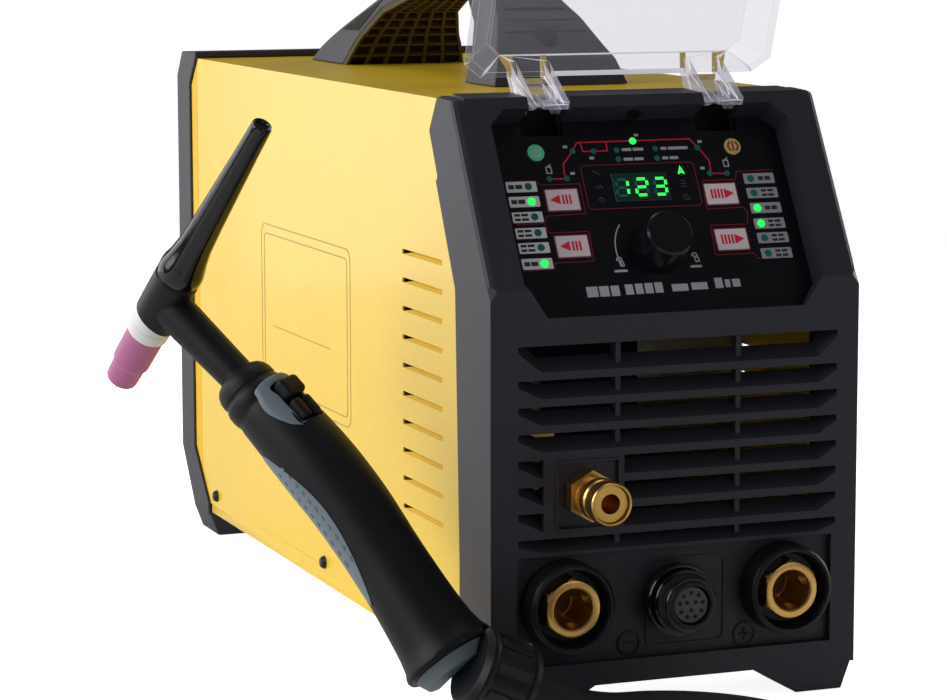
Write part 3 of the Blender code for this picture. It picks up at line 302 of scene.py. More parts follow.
SWITCH_RED = finish("rocker_red", (0.55, 0.02, 0.02), 0.25, coat=0.4, grain=600, bump=0.03)
# Painted light: the charcoal ribs are coloured olive for the yellow cover's light bounced onto them.
RIB_PAINTED_BOUNCE = finish("rib_painted_yellow_bounce", (0.085, 0.062, 0.016), 0.6, grain=1500, bump=0.15, gloss=0.2)
# Painted highlight: a glow on the clear cover's narrow edges and corners, as if they caught the light.
CLEAR_EDGE_PAINTED_HIGHLIGHT = glowing("clear_edge", (0.80, 0.80, 0.90), 0.42)
# Painted reflection: the yellow cover's colour seen in the clear cover's small top edges.
CLEAR_PAINTED_YELLOW_REFLECTION = finish("clear_edge_amber", (0.90, 0.60, 0.05), 0.3, grain=900, bump=0.03, tint=0.1)
CLEAR_MILKY = clear("clear_milky", (0.80, 0.80, 0.88), 0.2, 0.5)
LABEL_DARK = printed("label_grey_dark", (0.42, 0.41, 0.45))


# ---------------------------------------------------------------- making pieces


def keep(mesh, name, look, body="machine", nodes=(), smooth=35):
    """A new piece of the scene on its body, standing for any CAD nodes named."""
    made = add_object(name, mesh)
    mesh.materials.clear()
    mesh.materials.append(look)
    if smooth:
        mesh.shade_smooth()
        mesh.set_sharp_from_angle(angle=math.radians(smooth))
    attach(made, body)
    if nodes:
        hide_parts(*nodes)
    return made


def mesh_from(shape, place=None):
    """The finished mesh of a bmesh, moved to its place."""
    bmesh.ops.recalc_face_normals(shape, faces=shape.faces)
    mesh = bpy.data.meshes.new("piece")
    shape.to_mesh(mesh)
    shape.free()
    if place is not None:
        mesh.transform(place)
        if place.determinant() < 0:
            mesh.flip_normals()
    return mesh


def bridge(shape, rings):
    """Faces from each ring of vertices to the next, corner to corner."""
    for a, b in zip(rings, rings[1:]):
        for k in range(len(a)):
            n = (k + 1) % len(a)
            shape.faces.new((a[k], a[n], b[n], b[k]))


def prism(*outlines):
    """A closed solid between two outlines of as many points, in the machine's frame."""
    shape = bmesh.new()
    near, far = [[shape.verts.new(point) for point in outline] for outline in outlines]
    shape.faces.new(near)
    shape.faces.new(far[::-1])
    for a in range(len(near)):
        b = (a + 1) % len(near)
        shape.faces.new((near[a], far[a], far[b], near[b]))
    return mesh_from(shape, BASE)


def applied(mesh, *settings):
    """The mesh with modifiers of these (kind, {name: value}) settings applied."""
    holder = add_object("holder", mesh)
    for kind, values in settings:
        modifier = holder.modifiers.new(kind.lower(), kind)
        for name, value in values.items():
            setattr(modifier, name, value)
    bpy.context.view_layer.update()
    graph = bpy.context.evaluated_depsgraph_get()
    made = bpy.data.meshes.new_from_object(holder.evaluated_get(graph))
    bpy.data.objects.remove(holder)
    return made


def bevelled(mesh, width, segments=2):
    """The mesh with its edges rounded, wherever they turn by more than 28 degrees."""
    return applied(
        mesh,
        (
            "BEVEL",
            {
                "width": width,
                "segments": segments,
                "limit_method": "ANGLE",
                "angle_limit": math.radians(28),
                "use_clamp_overlap": True,
                "miter_outer": "MITER_ARC",
            },
        ),
        ("WEIGHTED_NORMAL", {"weight": 90, "keep_sharp": True}),
    )


FLAT = math.radians(0.6)  # faces that bend less than this at an edge count as one


def soften(node, look, width, segments=2):
    """The CAD node's own shape with its edges rounded, as moulding or turning leaves them."""
    source = frame["nodes"][node]
    shape = bmesh.new()
    shape.from_mesh(source.data)
    bmesh.ops.remove_doubles(shape, verts=shape.verts, dist=2e-6)
    bmesh.ops.dissolve_limit(shape, angle_limit=FLAT, verts=shape.verts, edges=shape.edges)
    wide = [face for face in shape.faces if len(face.verts) > 8]
    bmesh.ops.triangulate(shape, faces=wide, quad_method="BEAUTY", ngon_method="BEAUTY")
    mesh = bpy.data.meshes.new(node)
    shape.to_mesh(mesh)
    shape.free()
    mesh.shade_smooth()
    mesh.set_sharp_from_angle(angle=math.radians(50))
    body = source["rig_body"]
    made = bevelled(mesh, width, segments)
    return keep(made, node + "_soft", look, body, (node,), None)


def paint(node, look):
    """Give a CAD node that is shown as it is its look."""
    data = frame["nodes"][node].data
    data.materials.clear()
    data.materials.append(look)


def slabs(outlines, low, high, place):
    """One mesh of flat plates, each a closed outline, from low to high along local Z."""
    shape = bmesh.new()
    for outline in outlines:
        thicken(shape, [shape.faces.new([shape.verts.new((x, y, low)) for x, y in outline])], high - low)
    return mesh_from(shape, place)


def thicken(shape, faces, by):
    """Extrude flat faces by a height along local Z."""
    made = bmesh.ops.extrude_face_region(shape, geom=faces)
    moved = [v for v in made["geom"] if isinstance(v, bmesh.types.BMVert)]
    bmesh.ops.translate(shape, verts=moved, vec=(0, 0, by))


def both_sides(outline, inner, outer):
    """The same plate at the machine's left and right: an outline in Y and Z, between two X."""
    pieces = []
    for side in (-1, 1):
        low, high = sorted((side * inner, side * outer))
        pieces.append(slabs([outline], low, high, SIDE))
    return merged(pieces)


def around(centre, radius, angle):
    return (centre[0] + radius * math.cos(angle), centre[1] + radius * math.sin(angle))


def rounded(centre, width, height, radius, steps=4):
    """A rectangle with round corners."""
    x, y = centre
    made = []
    for turn, sx, sy in ((0, 1, 1), (90, -1, 1), (180, -1, -1), (270, 1, -1)):
        corner = (x + sx * (width / 2 - radius), y + sy * (height / 2 - radius))
        made += [around(corner, radius, math.radians(turn + 90 * k / steps)) for k in range(steps + 1)]
    return made


def disc(centre, radius, sides=20):
    return [around(centre, radius, 2 * math.pi * k / sides) for k in range(sides)]


def strokes(lines, width, low, high, place):
    """One mesh of flat lines of one width. A line is (points, whether it closes)."""
    shape = bmesh.new()
    for points, closes in lines:
        points = [Vector(p) for p in points]
        count = len(points)
        left, right = [], []
        for k, point in enumerate(points):
            before = points[k - 1] if k or closes else None
            after = points[(k + 1) % count] if k + 1 < count or closes else None
            way_in = (point - before).normalized() if before is not None else None
            way_out = (after - point).normalized() if after is not None else way_in
            way_in = way_in or way_out
            middle = (way_in + way_out).normalized()
            normal = Vector((-middle.y, middle.x))
            reach = width / 2 / max(0.4, normal.dot(Vector((-way_in.y, way_in.x))))
            left.append(shape.verts.new((*(point + normal * reach), high)))
            right.append(shape.verts.new((*(point - normal * reach), high)))
        spans = count if closes else count - 1
        faces = []
        for k in range(spans):
            n = (k + 1) % count
            faces.append(shape.faces.new((left[k], right[k], right[n], left[n])))
        thicken(shape, faces, low - high)
    return mesh_from(shape, place)


def arc(centre, radius, start, end, steps=16):
    turns = [math.radians(start + (end - start) * k / steps) for k in range(steps + 1)]
    return [around(centre, radius, turn) for turn in turns]


def turned(profile, place, sides=48):
    """A closed turned mesh about local Z from (radius, height) points, from end to end."""
    shape = bmesh.new()
    rings = []
    for radius, height in profile:
        ring = disc((0, 0), radius, sides) if radius else [(0, 0)]
        rings.append([shape.verts.new((x, y, height)) for x, y in ring])
    pairs = list(zip(rings, rings[1:]))
    if profile[0][0] and profile[-1][0]:
        pairs.append((rings[-1], rings[0]))
    for a, b in pairs:
        for k in range(sides):
            n = (k + 1) % sides
            corners = []
            for vertex in (a[k % len(a)], a[n % len(a)], b[n % len(b)], b[k % len(b)]):
                if vertex not in corners:
                    corners.append(vertex)
            if len(corners) > 2:
                shape.faces.new(corners)
    return mesh_from(shape, place)


def merged(meshes):
    """One mesh from several."""
    shape = bmesh.new()
    for mesh in meshes:
        shape.from_mesh(mesh)
        bpy.data.meshes.remove(mesh)
    mesh = bpy.data.meshes.new("pieces")
    shape.to_mesh(mesh)
    shape.free()
    return mesh


def spline(a, b, c, d, t):
    """The smooth curve between b and c, at t from 0 to 1, that also heeds a before and d after."""
    curve = 2 * b + (c - a) * t + (2 * a - 5 * b + 4 * c - d) * t**2
    return 0.5 * (curve + (3 * b - a - 3 * c + d) * t**3)


# ---------------------------------------------------------------- cords

CABLE_RADIUS = 0.009
TAIL_RADIUS = 0.0035
# The cable's points from the nut toward the coil.
ROUTE = (
    (-0.0917, -0.0326, 0.0249), (-0.0785, -0.0333, 0.0186), (-0.0650, -0.0338, 0.0130),
    (-0.0480, -0.0345, 0.0095), (-0.0309, -0.0367, 0.0092), (-0.0150, -0.0433, 0.0092),
    (-0.0013, -0.0538, 0.0092), (0.0092, -0.0675, 0.0092), (0.0158, -0.0834, 0.0092),
    (0.0185, -0.1005, 0.0092), (0.0205, -0.1250, 0.0092), (0.0250, -0.1550, 0.0092),
    (0.0300, -0.1870, 0.0092),
)
COIL_CENTRE = (-0.085, -0.265)
SPLIT_X = -0.2203
SPLIT_Y = -0.176
# The tails' points, in X and Y from the splitter and in Z from the floor.
GAS_TAIL = (
    (-0.0140, 0.0384, 0.0085), (-0.0141, 0.0470, 0.0083), (-0.0155, 0.0610, 0.0060),
    (-0.0190, 0.0910, 0.0040), (-0.0235, 0.1160, 0.0044), (-0.0255, 0.1360, 0.0060),
    (-0.0257, 0.1525, 0.0062),
)
CONTROL_TAIL = (
    (0.0140, 0.0384, 0.0085), (0.0141, 0.0470, 0.0083), (0.0165, 0.0610, 0.0058),
    (0.0200, 0.0800, 0.0046), (0.0222, 0.0950, 0.0070), (0.0225, 0.1060, 0.0100),
    (0.0225, 0.1180, 0.0104),
)
FLOOR_LAYER = 0.0092
UPPER_LAYER = 0.0272
OUTER_TURN = 0.117
TURN_STEP = 0.018


def eased(value, start, end):
    """From 0 at start to 1 at end, with a gentle beginning and end."""
    t = min(1.0, max(0.0, (value - start) / (end - start)))
    return t * t * (3 - 2 * t)


def coil_point(turned_by):
    """A place on the coil after turning by so many degrees: in along the floor, out on top."""
    radius = OUTER_TURN - TURN_STEP * (eased(turned_by, 300, 360) + eased(turned_by, 660, 720))
    radius += TURN_STEP * (eased(turned_by, 1260, 1320) + eased(turned_by, 1620, 1680))
    height = FLOOR_LAYER + (UPPER_LAYER - FLOOR_LAYER) * eased(turned_by, 955, 1020)
    if turned_by > 1800:
        roll = math.radians(90 * eased(turned_by, 1800, 1980))
        radius = OUTER_TURN + 0.0183 * math.sin(roll)
        height = FLOOR_LAYER + (UPPER_LAYER - FLOOR_LAYER) * math.cos(roll)
    return (*around(COIL_CENTRE, radius, math.radians(-turned_by)), height)


def smooth(points, steps):
    """Points along the smooth curve through these, with so many steps between each two."""
    points = [Vector(point) for point in points]
    ends = [2 * points[0] - points[1], *points, 2 * points[-1] - points[-2]]
    made = []
    for stretch in zip(ends, ends[1:], ends[2:], ends[3:]):
        made += [spline(*stretch, step / steps) for step in range(steps)]
    made.append(points[-1])
    return made


def cable_curve(name, points, radius, look, nodes, sides=4):
    """A cable through these points, standing for its CAD nodes, and its length."""
    curve = bpy.data.curves.new(name, "CURVE")
    curve.dimensions = "3D"
    curve.bevel_depth = radius
    curve.bevel_resolution = sides
    curve.use_fill_caps = True
    places = smooth(points, 4)
    path = curve.splines.new("POLY")
    path.points.add(len(places) - 1)
    for point, place in zip(path.points, places):
        point.co = (*(BASE @ place), 1)
    path.use_smooth = True
    made = add_object(name, curve)
    curve.materials.append(look)
    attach(made, "machine")
    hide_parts(*nodes)
    length = sum((b - a).length for a, b in zip(places, places[1:]))
    return made, length


def make_cords():
    """The torch cable, its splitter and plug, and the gas and control tails."""
    coil = [coil_point(a) for a in range(0, 1981, 15)]
    x, y = coil[-1][0], COIL_CENTRE[1]
    run_out = [(x, y + 0.026, 0.0093), (x, y + 0.052, 0.0097), (x, -0.1885, 0.0102)]
    cable, length = cable_curve(
        "cable",
        [*ROUTE, (0.0319, -0.2250, 0.0092), *coil, *run_out],
        CABLE_RADIUS,
        SLEEVE,
        ("torch_cable", "torch_cable_coil"),
        sides=6,
    )
    splitter = soften("cable_splitter", RUBBER, 0.0012, 3)
    plug = soften("torch_plug", BLACK, 0.0005)
    nose = turned(
        [(0, 0.0664), (0.0046, 0.0664), (0.0055, 0.0655), (0.0055, 0.0630), (0, 0.0630)],
        along((SPLIT_X, SPLIT_Y + 0.0379, 0.0135), (0, 1, 0)),
        24,
    )
    tip = keep(nose, "torch_plug_tip", BRASS)
    for name, points, node, end, look, slot, far in (
        ("gas_hose", GAS_TAIL, "gas_tail", "gas_tail_nipple", BRASS, "brass", "fitting"),
        (
            "control_lead",
            CONTROL_TAIL,
            "control_tail",
            "control_tail_plug",
            BLACK,
            "black_plastic",
            "connector",
        ),
    ):
        points = [(SPLIT_X + x, SPLIT_Y + y, z) for x, y, z in points]
        tail, reach = cable_curve(name, points, TAIL_RADIUS, RUBBER, (node,))
        end_piece = soften(end, look, 0.0003)


make_camera()
make_lights()
make_cords()

# ---------------------------------------------------------------- carried-over nodes

# The look, the slot, and how wide each node's edges are rounded.
SOFTENED = (
    (CHARCOAL, "charcoal_plastic", {"front_bezel": 0.0007, "rear_bezel": 0.0008, "handle": 0.0012}),
    (POCKET_BLACK, "gloss_black", {"control_panel": 0.0001}),
    (YELLOW, "yellow_paint", {"top_cover": 0.0006}),
    (KNOB, "black_plastic", {"encoder_knob": 0.0004}),
    (
        WHITE_KEY,
        "white_key",
        {
            "process_key": 0.0002, "cycle_key": 0.0002, "trigger_mode_key": 0.0002,
            "current_key": 0.0002,
        },
    ),
    (GREEN_KEY, "green_key", {"power_key": 0.0002}),
    (GOLD_KEY, "gold_key", {"favourite_key": 0.0002}),
    (WINDOW, "gloss_black", {"display_window": 0.0002}),
    (
        BLACK,
        "black_plastic",
        {
            "dinse_shroud_negative": 0.0004, "dinse_shroud_positive": 0.0004, "control_socket": 0.0003,
            "mains_gland": 0.0006, "fan_frame": 0.0006, "fan_rotor": 0.0004, "torch_end_nut": 0.0008,
        },
    ),
    (BRASS, "brass", {"gas_coupling_body": 0.0003, "gas_coupling_sleeve": 0.0003, "gas_inlet": 0.0003}),
    (ZINC, "zinc_steel", {"base_tray": 0.0003, "rear_panel": 0.0002}),
    (SWITCH_RED, "red_switch", {"power_switch": 0.0006}),
    (TORCH, "black_rubber", {"torch_head": 0.0009}),
    (INSULATOR, "white_insulator", {"torch_insulator": 0.0005}),
    (CERAMIC, "pink_ceramic", {"torch_nozzle": 0.0006}),
    (TUNGSTEN, "tungsten", {"torch_electrode": 0.0002}),
    (BLUE_GREY, "blue_grey_plastic", {"torch_swivel_ball": 0.0006}),
)
# Nodes shown as the CAD has them.
PAINTED = (
    (BLACK, ("control_socket_core", "handle_screw")),
    (BLACK, ("cover_screw_left_middle", "cover_screw_left_rear")),
    (BLACK, ("cover_screw_right_middle", "cover_screw_right_rear")),
    (ZINC, ("encoder_shaft", "cover_hinge_pin")),
    (ALUMINIUM, ("heat_sink",)),
    (BOARD, ("power_board",)),
    (COPPER, ("transformer",)),
    (BRASS, ("gas_valve",)),
)
for look, slot, widths in SOFTENED:
    for node, width in widths.items():
        soften(node, look, width)
for look, nodes in PAINTED:
    for node in nodes:
        paint(node, look)


def make_clear_cover():
    """The clear cover: its broad walls nearly vanish; its narrow edges and corners glow with a painted
    highlight, and small rear-facing faces at its top carry a painted yellow reflection.
    """
    cover = soften("clear_cover", POLYCARBONATE, 0.0004, 1)
    mesh = cover.data
    for look in (CLEAR_EDGE_PAINTED_HIGHLIGHT, CLEAR_PAINTED_YELLOW_REFLECTION, CLEAR_MILKY):
        mesh.materials.append(look)
    # Material indices: the painted highlight on narrow edges, the painted yellow reflection, and the milky
    # tongue sides.
    edge, yellow_reflection, milky = 1, 2, 3
    shift = BASE.to_translation()
    for face in mesh.polygons:
        corners = [mesh.vertices[index].co for index in face.vertices]
        longest = max((a - b).length for a in corners for b in corners)
        narrow = face.area / longest
        middle = face.center - shift
        tongue = middle.z < 0.2915 and middle.y < 0.0735
        band = narrow < 0.0026 and len(corners) == 4 and longest > 0.03 and abs(face.normal.x) < 0.2
        if band or (narrow < 0.0009 and longest > (0.0065 if tongue else 0.003)):
            face.material_index = edge
        elif tongue and abs(face.normal.x) > 0.8:
            face.material_index = milky
        # Small rear-facing faces at the top get the painted yellow reflection.
        if 0.2845 < middle.z < 0.300 and face.normal.y > 0.3 and narrow < 0.0030 and longest < 0.02:
            face.material_index = yellow_reflection


make_clear_cover()


# ---------------------------------------------------------------- control panel

# How far print and lamps stand above their face, and print reaches into it.
PRINT = 0.00012
LAMP = 0.00045
SUNK = 0.00005


def mm(points):
    """Points given in millimetres, in metres."""
    return [(x * MM, y * MM) for x, y in points]


def print_lines(name, lines, width, look, base=MEMBRANE, body="machine"):
    """Thin raised printing on the slope: lines are (points in mm, closes)."""
    lines = [(mm(points), closes) for points, closes in lines]
    keep(strokes(lines, width * MM, base - SUNK, base + PRINT, SLOPE), name, look, body)


def print_plates(name, outlines, look, base=MEMBRANE, body="machine", lift=PRINT):
    """Filled printing on the slope: outlines in mm."""
    outlines = [mm(outline) for outline in outlines]
    keep(slabs(outlines, base - SUNK, base + lift, SLOPE), name, look, body)


def bar(x0, x1, y, height):
    return [(x0, y - height / 2), (x1, y - height / 2), (x1, y + height / 2), (x0, y + height / 2)]


LAMPS_DARK = [
    (-46.2, 62.1), (-37.5, 62.0), (-31.7, 75.9), (-21.0, 75.6), (32.6, 75.7), (36.0, 62.1),
    (44.9, 61.8), (-9.2, 75.8), (-9.3, 71.0), (10.7, 75.9), (10.6, 70.9),
]
LABEL_ROWS = (58.6, 51.0, 43.1, 35.0, 27.5, 19.5)


def make_panel_print():
    """The membrane's lines, lamps, lists and bars; every word is a plain bar."""
    arch = [(-37.9, 63.2), (-38.2, 65.0), (-37.5, 69.6), (-32.4, 75.2), (-28.5, 80.4)]
    arch += [(29.5, 80.6), (32.3, 76.8), (37.2, 69.1), (36.9, 64.3), (36.3, 63.0)]
    programme = [
        ([(-45.5, 62.1), (-38.2, 62.0)], False),
        (arch, False),
        ([(37.0, 62.1), (44.0, 61.8)], False),
        ([(-26.9, 80.3), (-26.4, 75.7), (-14.0, 75.7), (-13.6, 80.2)], False),
    ]
    print_lines("programme_line", programme, 0.62, RED_PRINT)
    display = rounded((-0.4, 57.1), 58.0, 22.6, 2.0)
    left_upper = [
        (-68.3, 61.5), (-54.0, 61.5), (-50.5, 59.2), (-31.9, 59.2), (-31.6, 58.8), (-31.6, 44.2),
        (-32.0, 43.8), (-51.2, 43.3), (-53.4, 39.7), (-67.2, 39.5),
    ]
    left_lower = [
        (-53.1, 39.3), (-52.0, 34.7), (-32.4, 34.7), (-32.0, 34.3), (-32.7, 20.0), (-33.2, 19.6),
        (-52.1, 19.5), (-52.9, 16.4), (-68.4, 16.2),
    ]
    right_upper = [
        (69.5, 62.9), (50.0, 62.6), (48.6, 58.4), (31.8, 58.5), (31.3, 58.1), (30.2, 44.0),
        (30.6, 43.6), (49.2, 43.9), (50.9, 41.7), (49.6, 35.4),
    ]
    right_lower = [
        (49.2, 35.1), (30.6, 35.1), (30.2, 34.7), (29.3, 20.3), (29.7, 19.9), (48.9, 20.0),
        (50.4, 17.3), (66.9, 17.1),
    ]
    frames = [(display, True)]
    frames += [(line, False) for line in (left_upper, left_lower, right_upper, right_lower)]
    print_lines("section_lines", frames, 0.34, RED_THIN)
    lamps = [disc(place, 1.45) for place in LAMPS_DARK]
    lit = [disc((0, 80.3), 1.75)]
    words = []
    # Each list: its lamps' X, the rows lit, its boxes' middle and width, their words' ends,
    # and the rows that have one line of words.
    left = (-57.5, (1, 5), -60.9, 15.2, ((-67.4, -64.6), (-64.0, -60.6)), (0, 1, 5))
    right = (56.5, (2, 3), 61.0, 16.0, ((60.5, 63.2), (63.9, 66.8)), (0, 2))
    for (lamp, on, middle, width, spans, single), name, look in (
        (left, "label_boxes", LABEL_GREY),
        (right, "label_boxes_right", LABEL_DARK),
    ):
        lamps += [disc((lamp, row), 1.75) for k, row in enumerate(LABEL_ROWS) if k not in on]
        lit += [disc((lamp, LABEL_ROWS[k]), 1.95) for k in on]
        print_plates(name, [rounded((middle, row), width, 5.4, 0.5) for row in LABEL_ROWS], look)
        for k, row in enumerate(LABEL_ROWS):
            lines = ((row, 2.1),) if k in single else ((row + 1.15, 1.25), (row - 1.15, 1.25))
            words += [bar(*span, *line) for line in lines for span in spans]
    print_plates("lamps_dark", lamps, LAMP_OFF, lift=LAMP)
    print_plates("lamps_lit", lit, LAMP_ON, lift=LAMP)
    print_plates("label_words", words, INK, lift=0.0002)
    small = []
    for y, spans in (
        (76, ((-6.4, -1.6), (-0.8, 4.6), (13.6, 16.6), (17.4, 27.6))),
        (71, ((-6.5, -1.8), (-1.0, 3.6), (13.4, 16.4), (17.2, 21.6))),
    ):
        small += [bar(*span, y, 1.5) for span in spans]
    for x, y in ((-34.9, 78.4), (-22.6, 72.2), (-34.0, 64.6), (34.6, 79.0), (32.9, 65.0), (2.4, 83.4)):
        small.append(bar(x - 1.1, x + 1.1, y, 1.3))
    print_plates("small_words", small, PRINT_GREY)
    large = [(-39.6, -34.0, 4.2, 5.2), (-33.2, -28.4, 4.2, 5.2), (-27.4, -23.2, 4.2, 5.2)]
    large += [(-20.2, -16.2, 4.5, 5.2), (-15.0, -11.2, 4.6, 5.2), (-10.2, -6.2, 4.7, 5.2)]
    large += [(-5.2, -1.2, 4.8, 5.2), (3.4, 11.6, 4.3, 3.6), (13.4, 21.6, 4.6, 3.6)]
    large += [(25.6, 29.6, 5.6, 5.2), (30.8, 33.4, 5.2, 4.0), (34.6, 38.6, 5.3, 4.0)]
    print_plates("model_bars", [bar(*row) for row in large], PRINT_GREY)
    icons = []
    for x, y in ((-45.5, 67.0), (45.6, 67.4)):
        box = [(x - 1.2, y - 1.9), (x + 1.2, y - 1.9), (x + 1.2, y + 1.3), (x - 1.2, y + 1.3)]
        icons += [(box, True), ([(x - 0.4, y + 1.4), (x + 1.3, y + 2.6)], False)]
    icons.append((arc((0, 24.5), 20.6, 141, 204), False))
    for x, y in ((-20.0, 18.0), (18.4, 18.6)):
        icons.append((arc((x, y + 1.6), 1.3, -40, 200, 10), False))
        hand = [(x - 0.3, y + 1.4), (x + 0.2, y - 1.6), (x + 1.9, y - 1.4), (x + 1.7, y + 0.4)]
        icons.append((hand, True))
    print_lines("icons", icons, 0.55, PRINT_GREY)
    print_plates("icon_words", [bar(-23.6, -17.0, 14.0, 1.2), bar(15.2, 21.0, 14.6, 1.2)], PRINT_GREY)


def make_display():
    """Three seven-segment digits with their unlit parts, which get a faint painted glow, the unit and the dim
    icons.
    """
    window = MEMBRANE + 0.0002
    high, mid, low = 1, 0.5, 0
    segments = {
        "a": ((0, high), (1, high)), "b": ((1, high), (1, mid)), "c": ((1, mid), (1, low)),
        "d": ((0, low), (1, low)), "e": ((0, mid), (0, low)), "f": ((0, high), (0, mid)),
        "g": ((0, mid), (1, mid)),
    }
    digits = ((-10.4, "bc"), (-0.5, "abged"), (9.1, "abgcd"))
    wide, tall, middle, slant = 5.7, 8.3, 56.3, 0.07
    lit, dim = [], []
    for centre, shown in digits:
        for name, ends in segments.items():
            line = []
            for u, v in ends:
                inset = 0.11 if ends[0][1] != ends[1][1] else 0
                across = 0.13 if ends[0][1] == ends[1][1] else 0
                v += inset * (1 if v < max(e[1] for e in ends) else -1)
                u += across * (1 if u < 0.5 else -1)
                x = (u - 0.5) * wide + slant * (v - 0.5) * tall
                line.append((centre + x, middle + (v - 0.5) * tall))
            (lit if name in shown else dim).append((line, False))
    # The unlit segments glow faintly: painted light, not lamps.
    print_lines("digits_dim", dim, 1.25, UNLIT_SEGMENT_GLOW, window)
    print_lines("digits_lit", lit, 1.35, DIGIT, window)
    unit = [([(19.9, 62.4), (21.3, 65.9), (22.7, 62.4)], False), ([(20.5, 63.4), (22.1, 63.4)], False)]
    print_lines("unit_lit", unit, 0.75, DIGIT)
    dim_icons = [
        ([(-24.0, 65.6), (-22.4, 64.9), (-20.6, 63.6)], False),
        ([(-24.2, 57.9), (-22.6, 56.4), (-21.4, 57.9), (-20.2, 56.4)], False),
        (disc((-22.2, 50.5), 1.1, 12), True),
        ([(19.8, 59.0), (22.6, 59.0)], False),
        ([(19.8, 57.4), (22.6, 57.4)], False),
        ([(20.0, 55.8), (22.8, 55.8)], False),
        ([(20.0, 51.4), (20.4, 49.2), (23.0, 49.2), (21.6, 51.2)], True),
    ]
    print_lines("icons_dim", dim_icons, 0.55, PRINT_DIM)


def make_key_marks():
    """Arrows on the square keys, their frames, and the signs on the round keys."""
    base = MEMBRANE + 0.0005
    rows = {0: 51.2, 1: 27.5}
    left, right = -41.8, 39.5
    names = {(left, 0): "process_key", (left, 1): "cycle_key"}
    names |= {(right, 0): "trigger_mode_key", (right, 1): "current_key"}
    for (x, row), body in names.items():
        side = -1 if x < 0 else 1
        y = rows[row]
        tip, tail = x + side * 6.4, x + side * 1.4
        marks = [[(tip, y), (tail, y + 2.5), (tail, y - 2.5)]]
        for k in range(3 if side < 0 else 4):
            middle = x - side * (1.75 * k) + 0.2
            marks.append(bar(middle - 0.5, middle + 0.5, y, 4.8))
        marks = [outline if side > 0 or len(outline) > 3 else outline[::-1] for outline in marks]
        print_plates(body + "_mark", marks, RED_PRINT, base, body)
    rim = [(rounded((x, rows[row]), 16.9, 11.5, 0.6), True) for x, row in names]
    print_lines("key_frames", rim, 0.4, RED_THIN)
    mark = [(arc((-50.2, 75.8), 2.1, 125, 415, 18), False), ([(-50.2, 78.6), (-50.2, 75.6)], False)]
    print_lines("power_key_mark", mark, 0.62, PRINT_WHITE, base, "power_key")
    mark = [(arc((51.1, 75.8), 2.5, 120, 240, 10), False), (arc((51.1, 75.8), 2.5, -60, 60, 10), False)]
    mark.append(([(51.1, 78.4), (51.1, 73.4)], False))
    print_lines("favourite_key_mark", mark, 0.8, RED_THIN, base, "favourite_key")


# ---------------------------------------------------------------- front details


LOWER_FACE = -0.004  # the face round the sockets, along FRONT's Z
CONTROL_HEIGHT = 0.0510
SOCKET_HEIGHT = 0.0519
SOCKET_SPREAD = 0.0555
HALF_ACROSS_FLATS = 0.0130
RAISED = 0.0007


def make_front_details():
    """Raised edges, signs and rings on the lower face, the catch, and black sheets of painted shade behind
    the grille and the hinge windows.
    """
    low, high = LOWER_FACE - 0.0004, LOWER_FACE + RAISED
    lines = [(mm(rounded((6.0, 49.0), 39.5, 41.0, 3.5)), True)]
    mesh = strokes(lines, 0.0009, low, high, FRONT)
    keep(mesh, "control_socket_flange", CHARCOAL)
    signs = []
    minus, plus = (-22.6, 30.8), (36.9, 30.0)
    arm = 2.6
    for x, z in (minus, plus):
        signs.append((mm(disc((x, z), 5.4, 28)), True))
        signs.append((mm([(x - arm, z), (x + arm, z)]), False))
    signs.append((mm([(plus[0], plus[1] - arm), (plus[0], plus[1] + arm)]), False))
    mesh = strokes(signs, 0.0011, LOWER_FACE - 0.0003, high, FRONT)
    keep(mesh, "polarity_signs", BLACK)
    rim = rounded((-45.0, 103.2), 31.0, 31.6, 0.8)
    mesh = strokes([(mm(rim), True)], 0.0011, -0.0004, 0.0008, FRONT)
    keep(mesh, "gas_plate_edge", CHARCOAL)
    face = FRONT @ at(0, CONTROL_HEIGHT, 0.0151)
    body = turned([(0, 0), (0.0079, 0), (0.0083, 0.0004), (0.0083, 0.0009), (0, 0.0009)], face, 40)
    keep(body, "socket_insert", finish("socket_insert_grey", (0.075, 0.072, 0.075), 0.4))
    pins = []
    for count, radius, first in ((9, 0.0058, 90), (3, 0.0025, -90)):
        turns = [math.radians(first + 360 / count * k) for k in range(count)]
        pins += [disc(around((0, 0), radius, turn), 0.0010, 14) for turn in turns]
    # Painted shade: black discs for the shade down the socket's pin holes.
    holes = finish("pin_hole_shade", (0.003, 0.003, 0.003), 0.7, bump=0)
    keep(slabs(pins, 0.0006, 0.0011, face), "socket_pins", holes)
    rings = []
    for radius, low, high in ((0.0168, 0.0046, 0.0066), (0.0150, 0.0092, 0.0102), (0.0124, 0.0150, 0.0164)):
        profile = [(radius - 0.0020, low), (radius, low), (radius + 0.0004, low + 0.0005)]
        profile += [(radius + 0.0004, high - 0.0005), (radius, high), (radius - 0.0020, high)]
        rings.append(turned(profile, FRONT @ at(0, CONTROL_HEIGHT, 0), 56))
    keep(merged(rings), "control_socket_rings", CAP)
    catch = SLOPE @ at(0, 0.0912, -0.0075) @ Matrix.Rotation(math.radians(90), 4, "X")
    body = turned([(0, 0), (0.0028, 0), (0.0034, 0.0006), (0.0034, 0.0016), (0, 0.0016)], catch, 28)
    keep(body, "cover_catch", CAP)
    # Painted shade: black sheets inside, behind the grille and the hinge windows, hide the lit interior.
    for name, outline, far, near, look in (
        ("grille_shade_sheet", [(-86, 76), (24, 76), (24, 172), (-86, 172)], -0.1012, -0.1000, "grille_painted_shade"),
        ("window_shade_sheet", rounded((0, 262), 166, 33, 2), -0.0782, -0.0772, "window_painted_shade"),
    ):
        look = finish(look, (0.004, 0.004, 0.004), 0.8, bump=0.05)
        keep(bevelled(slabs([mm(outline)], far, near, FRONT), 0.0002), name, look)


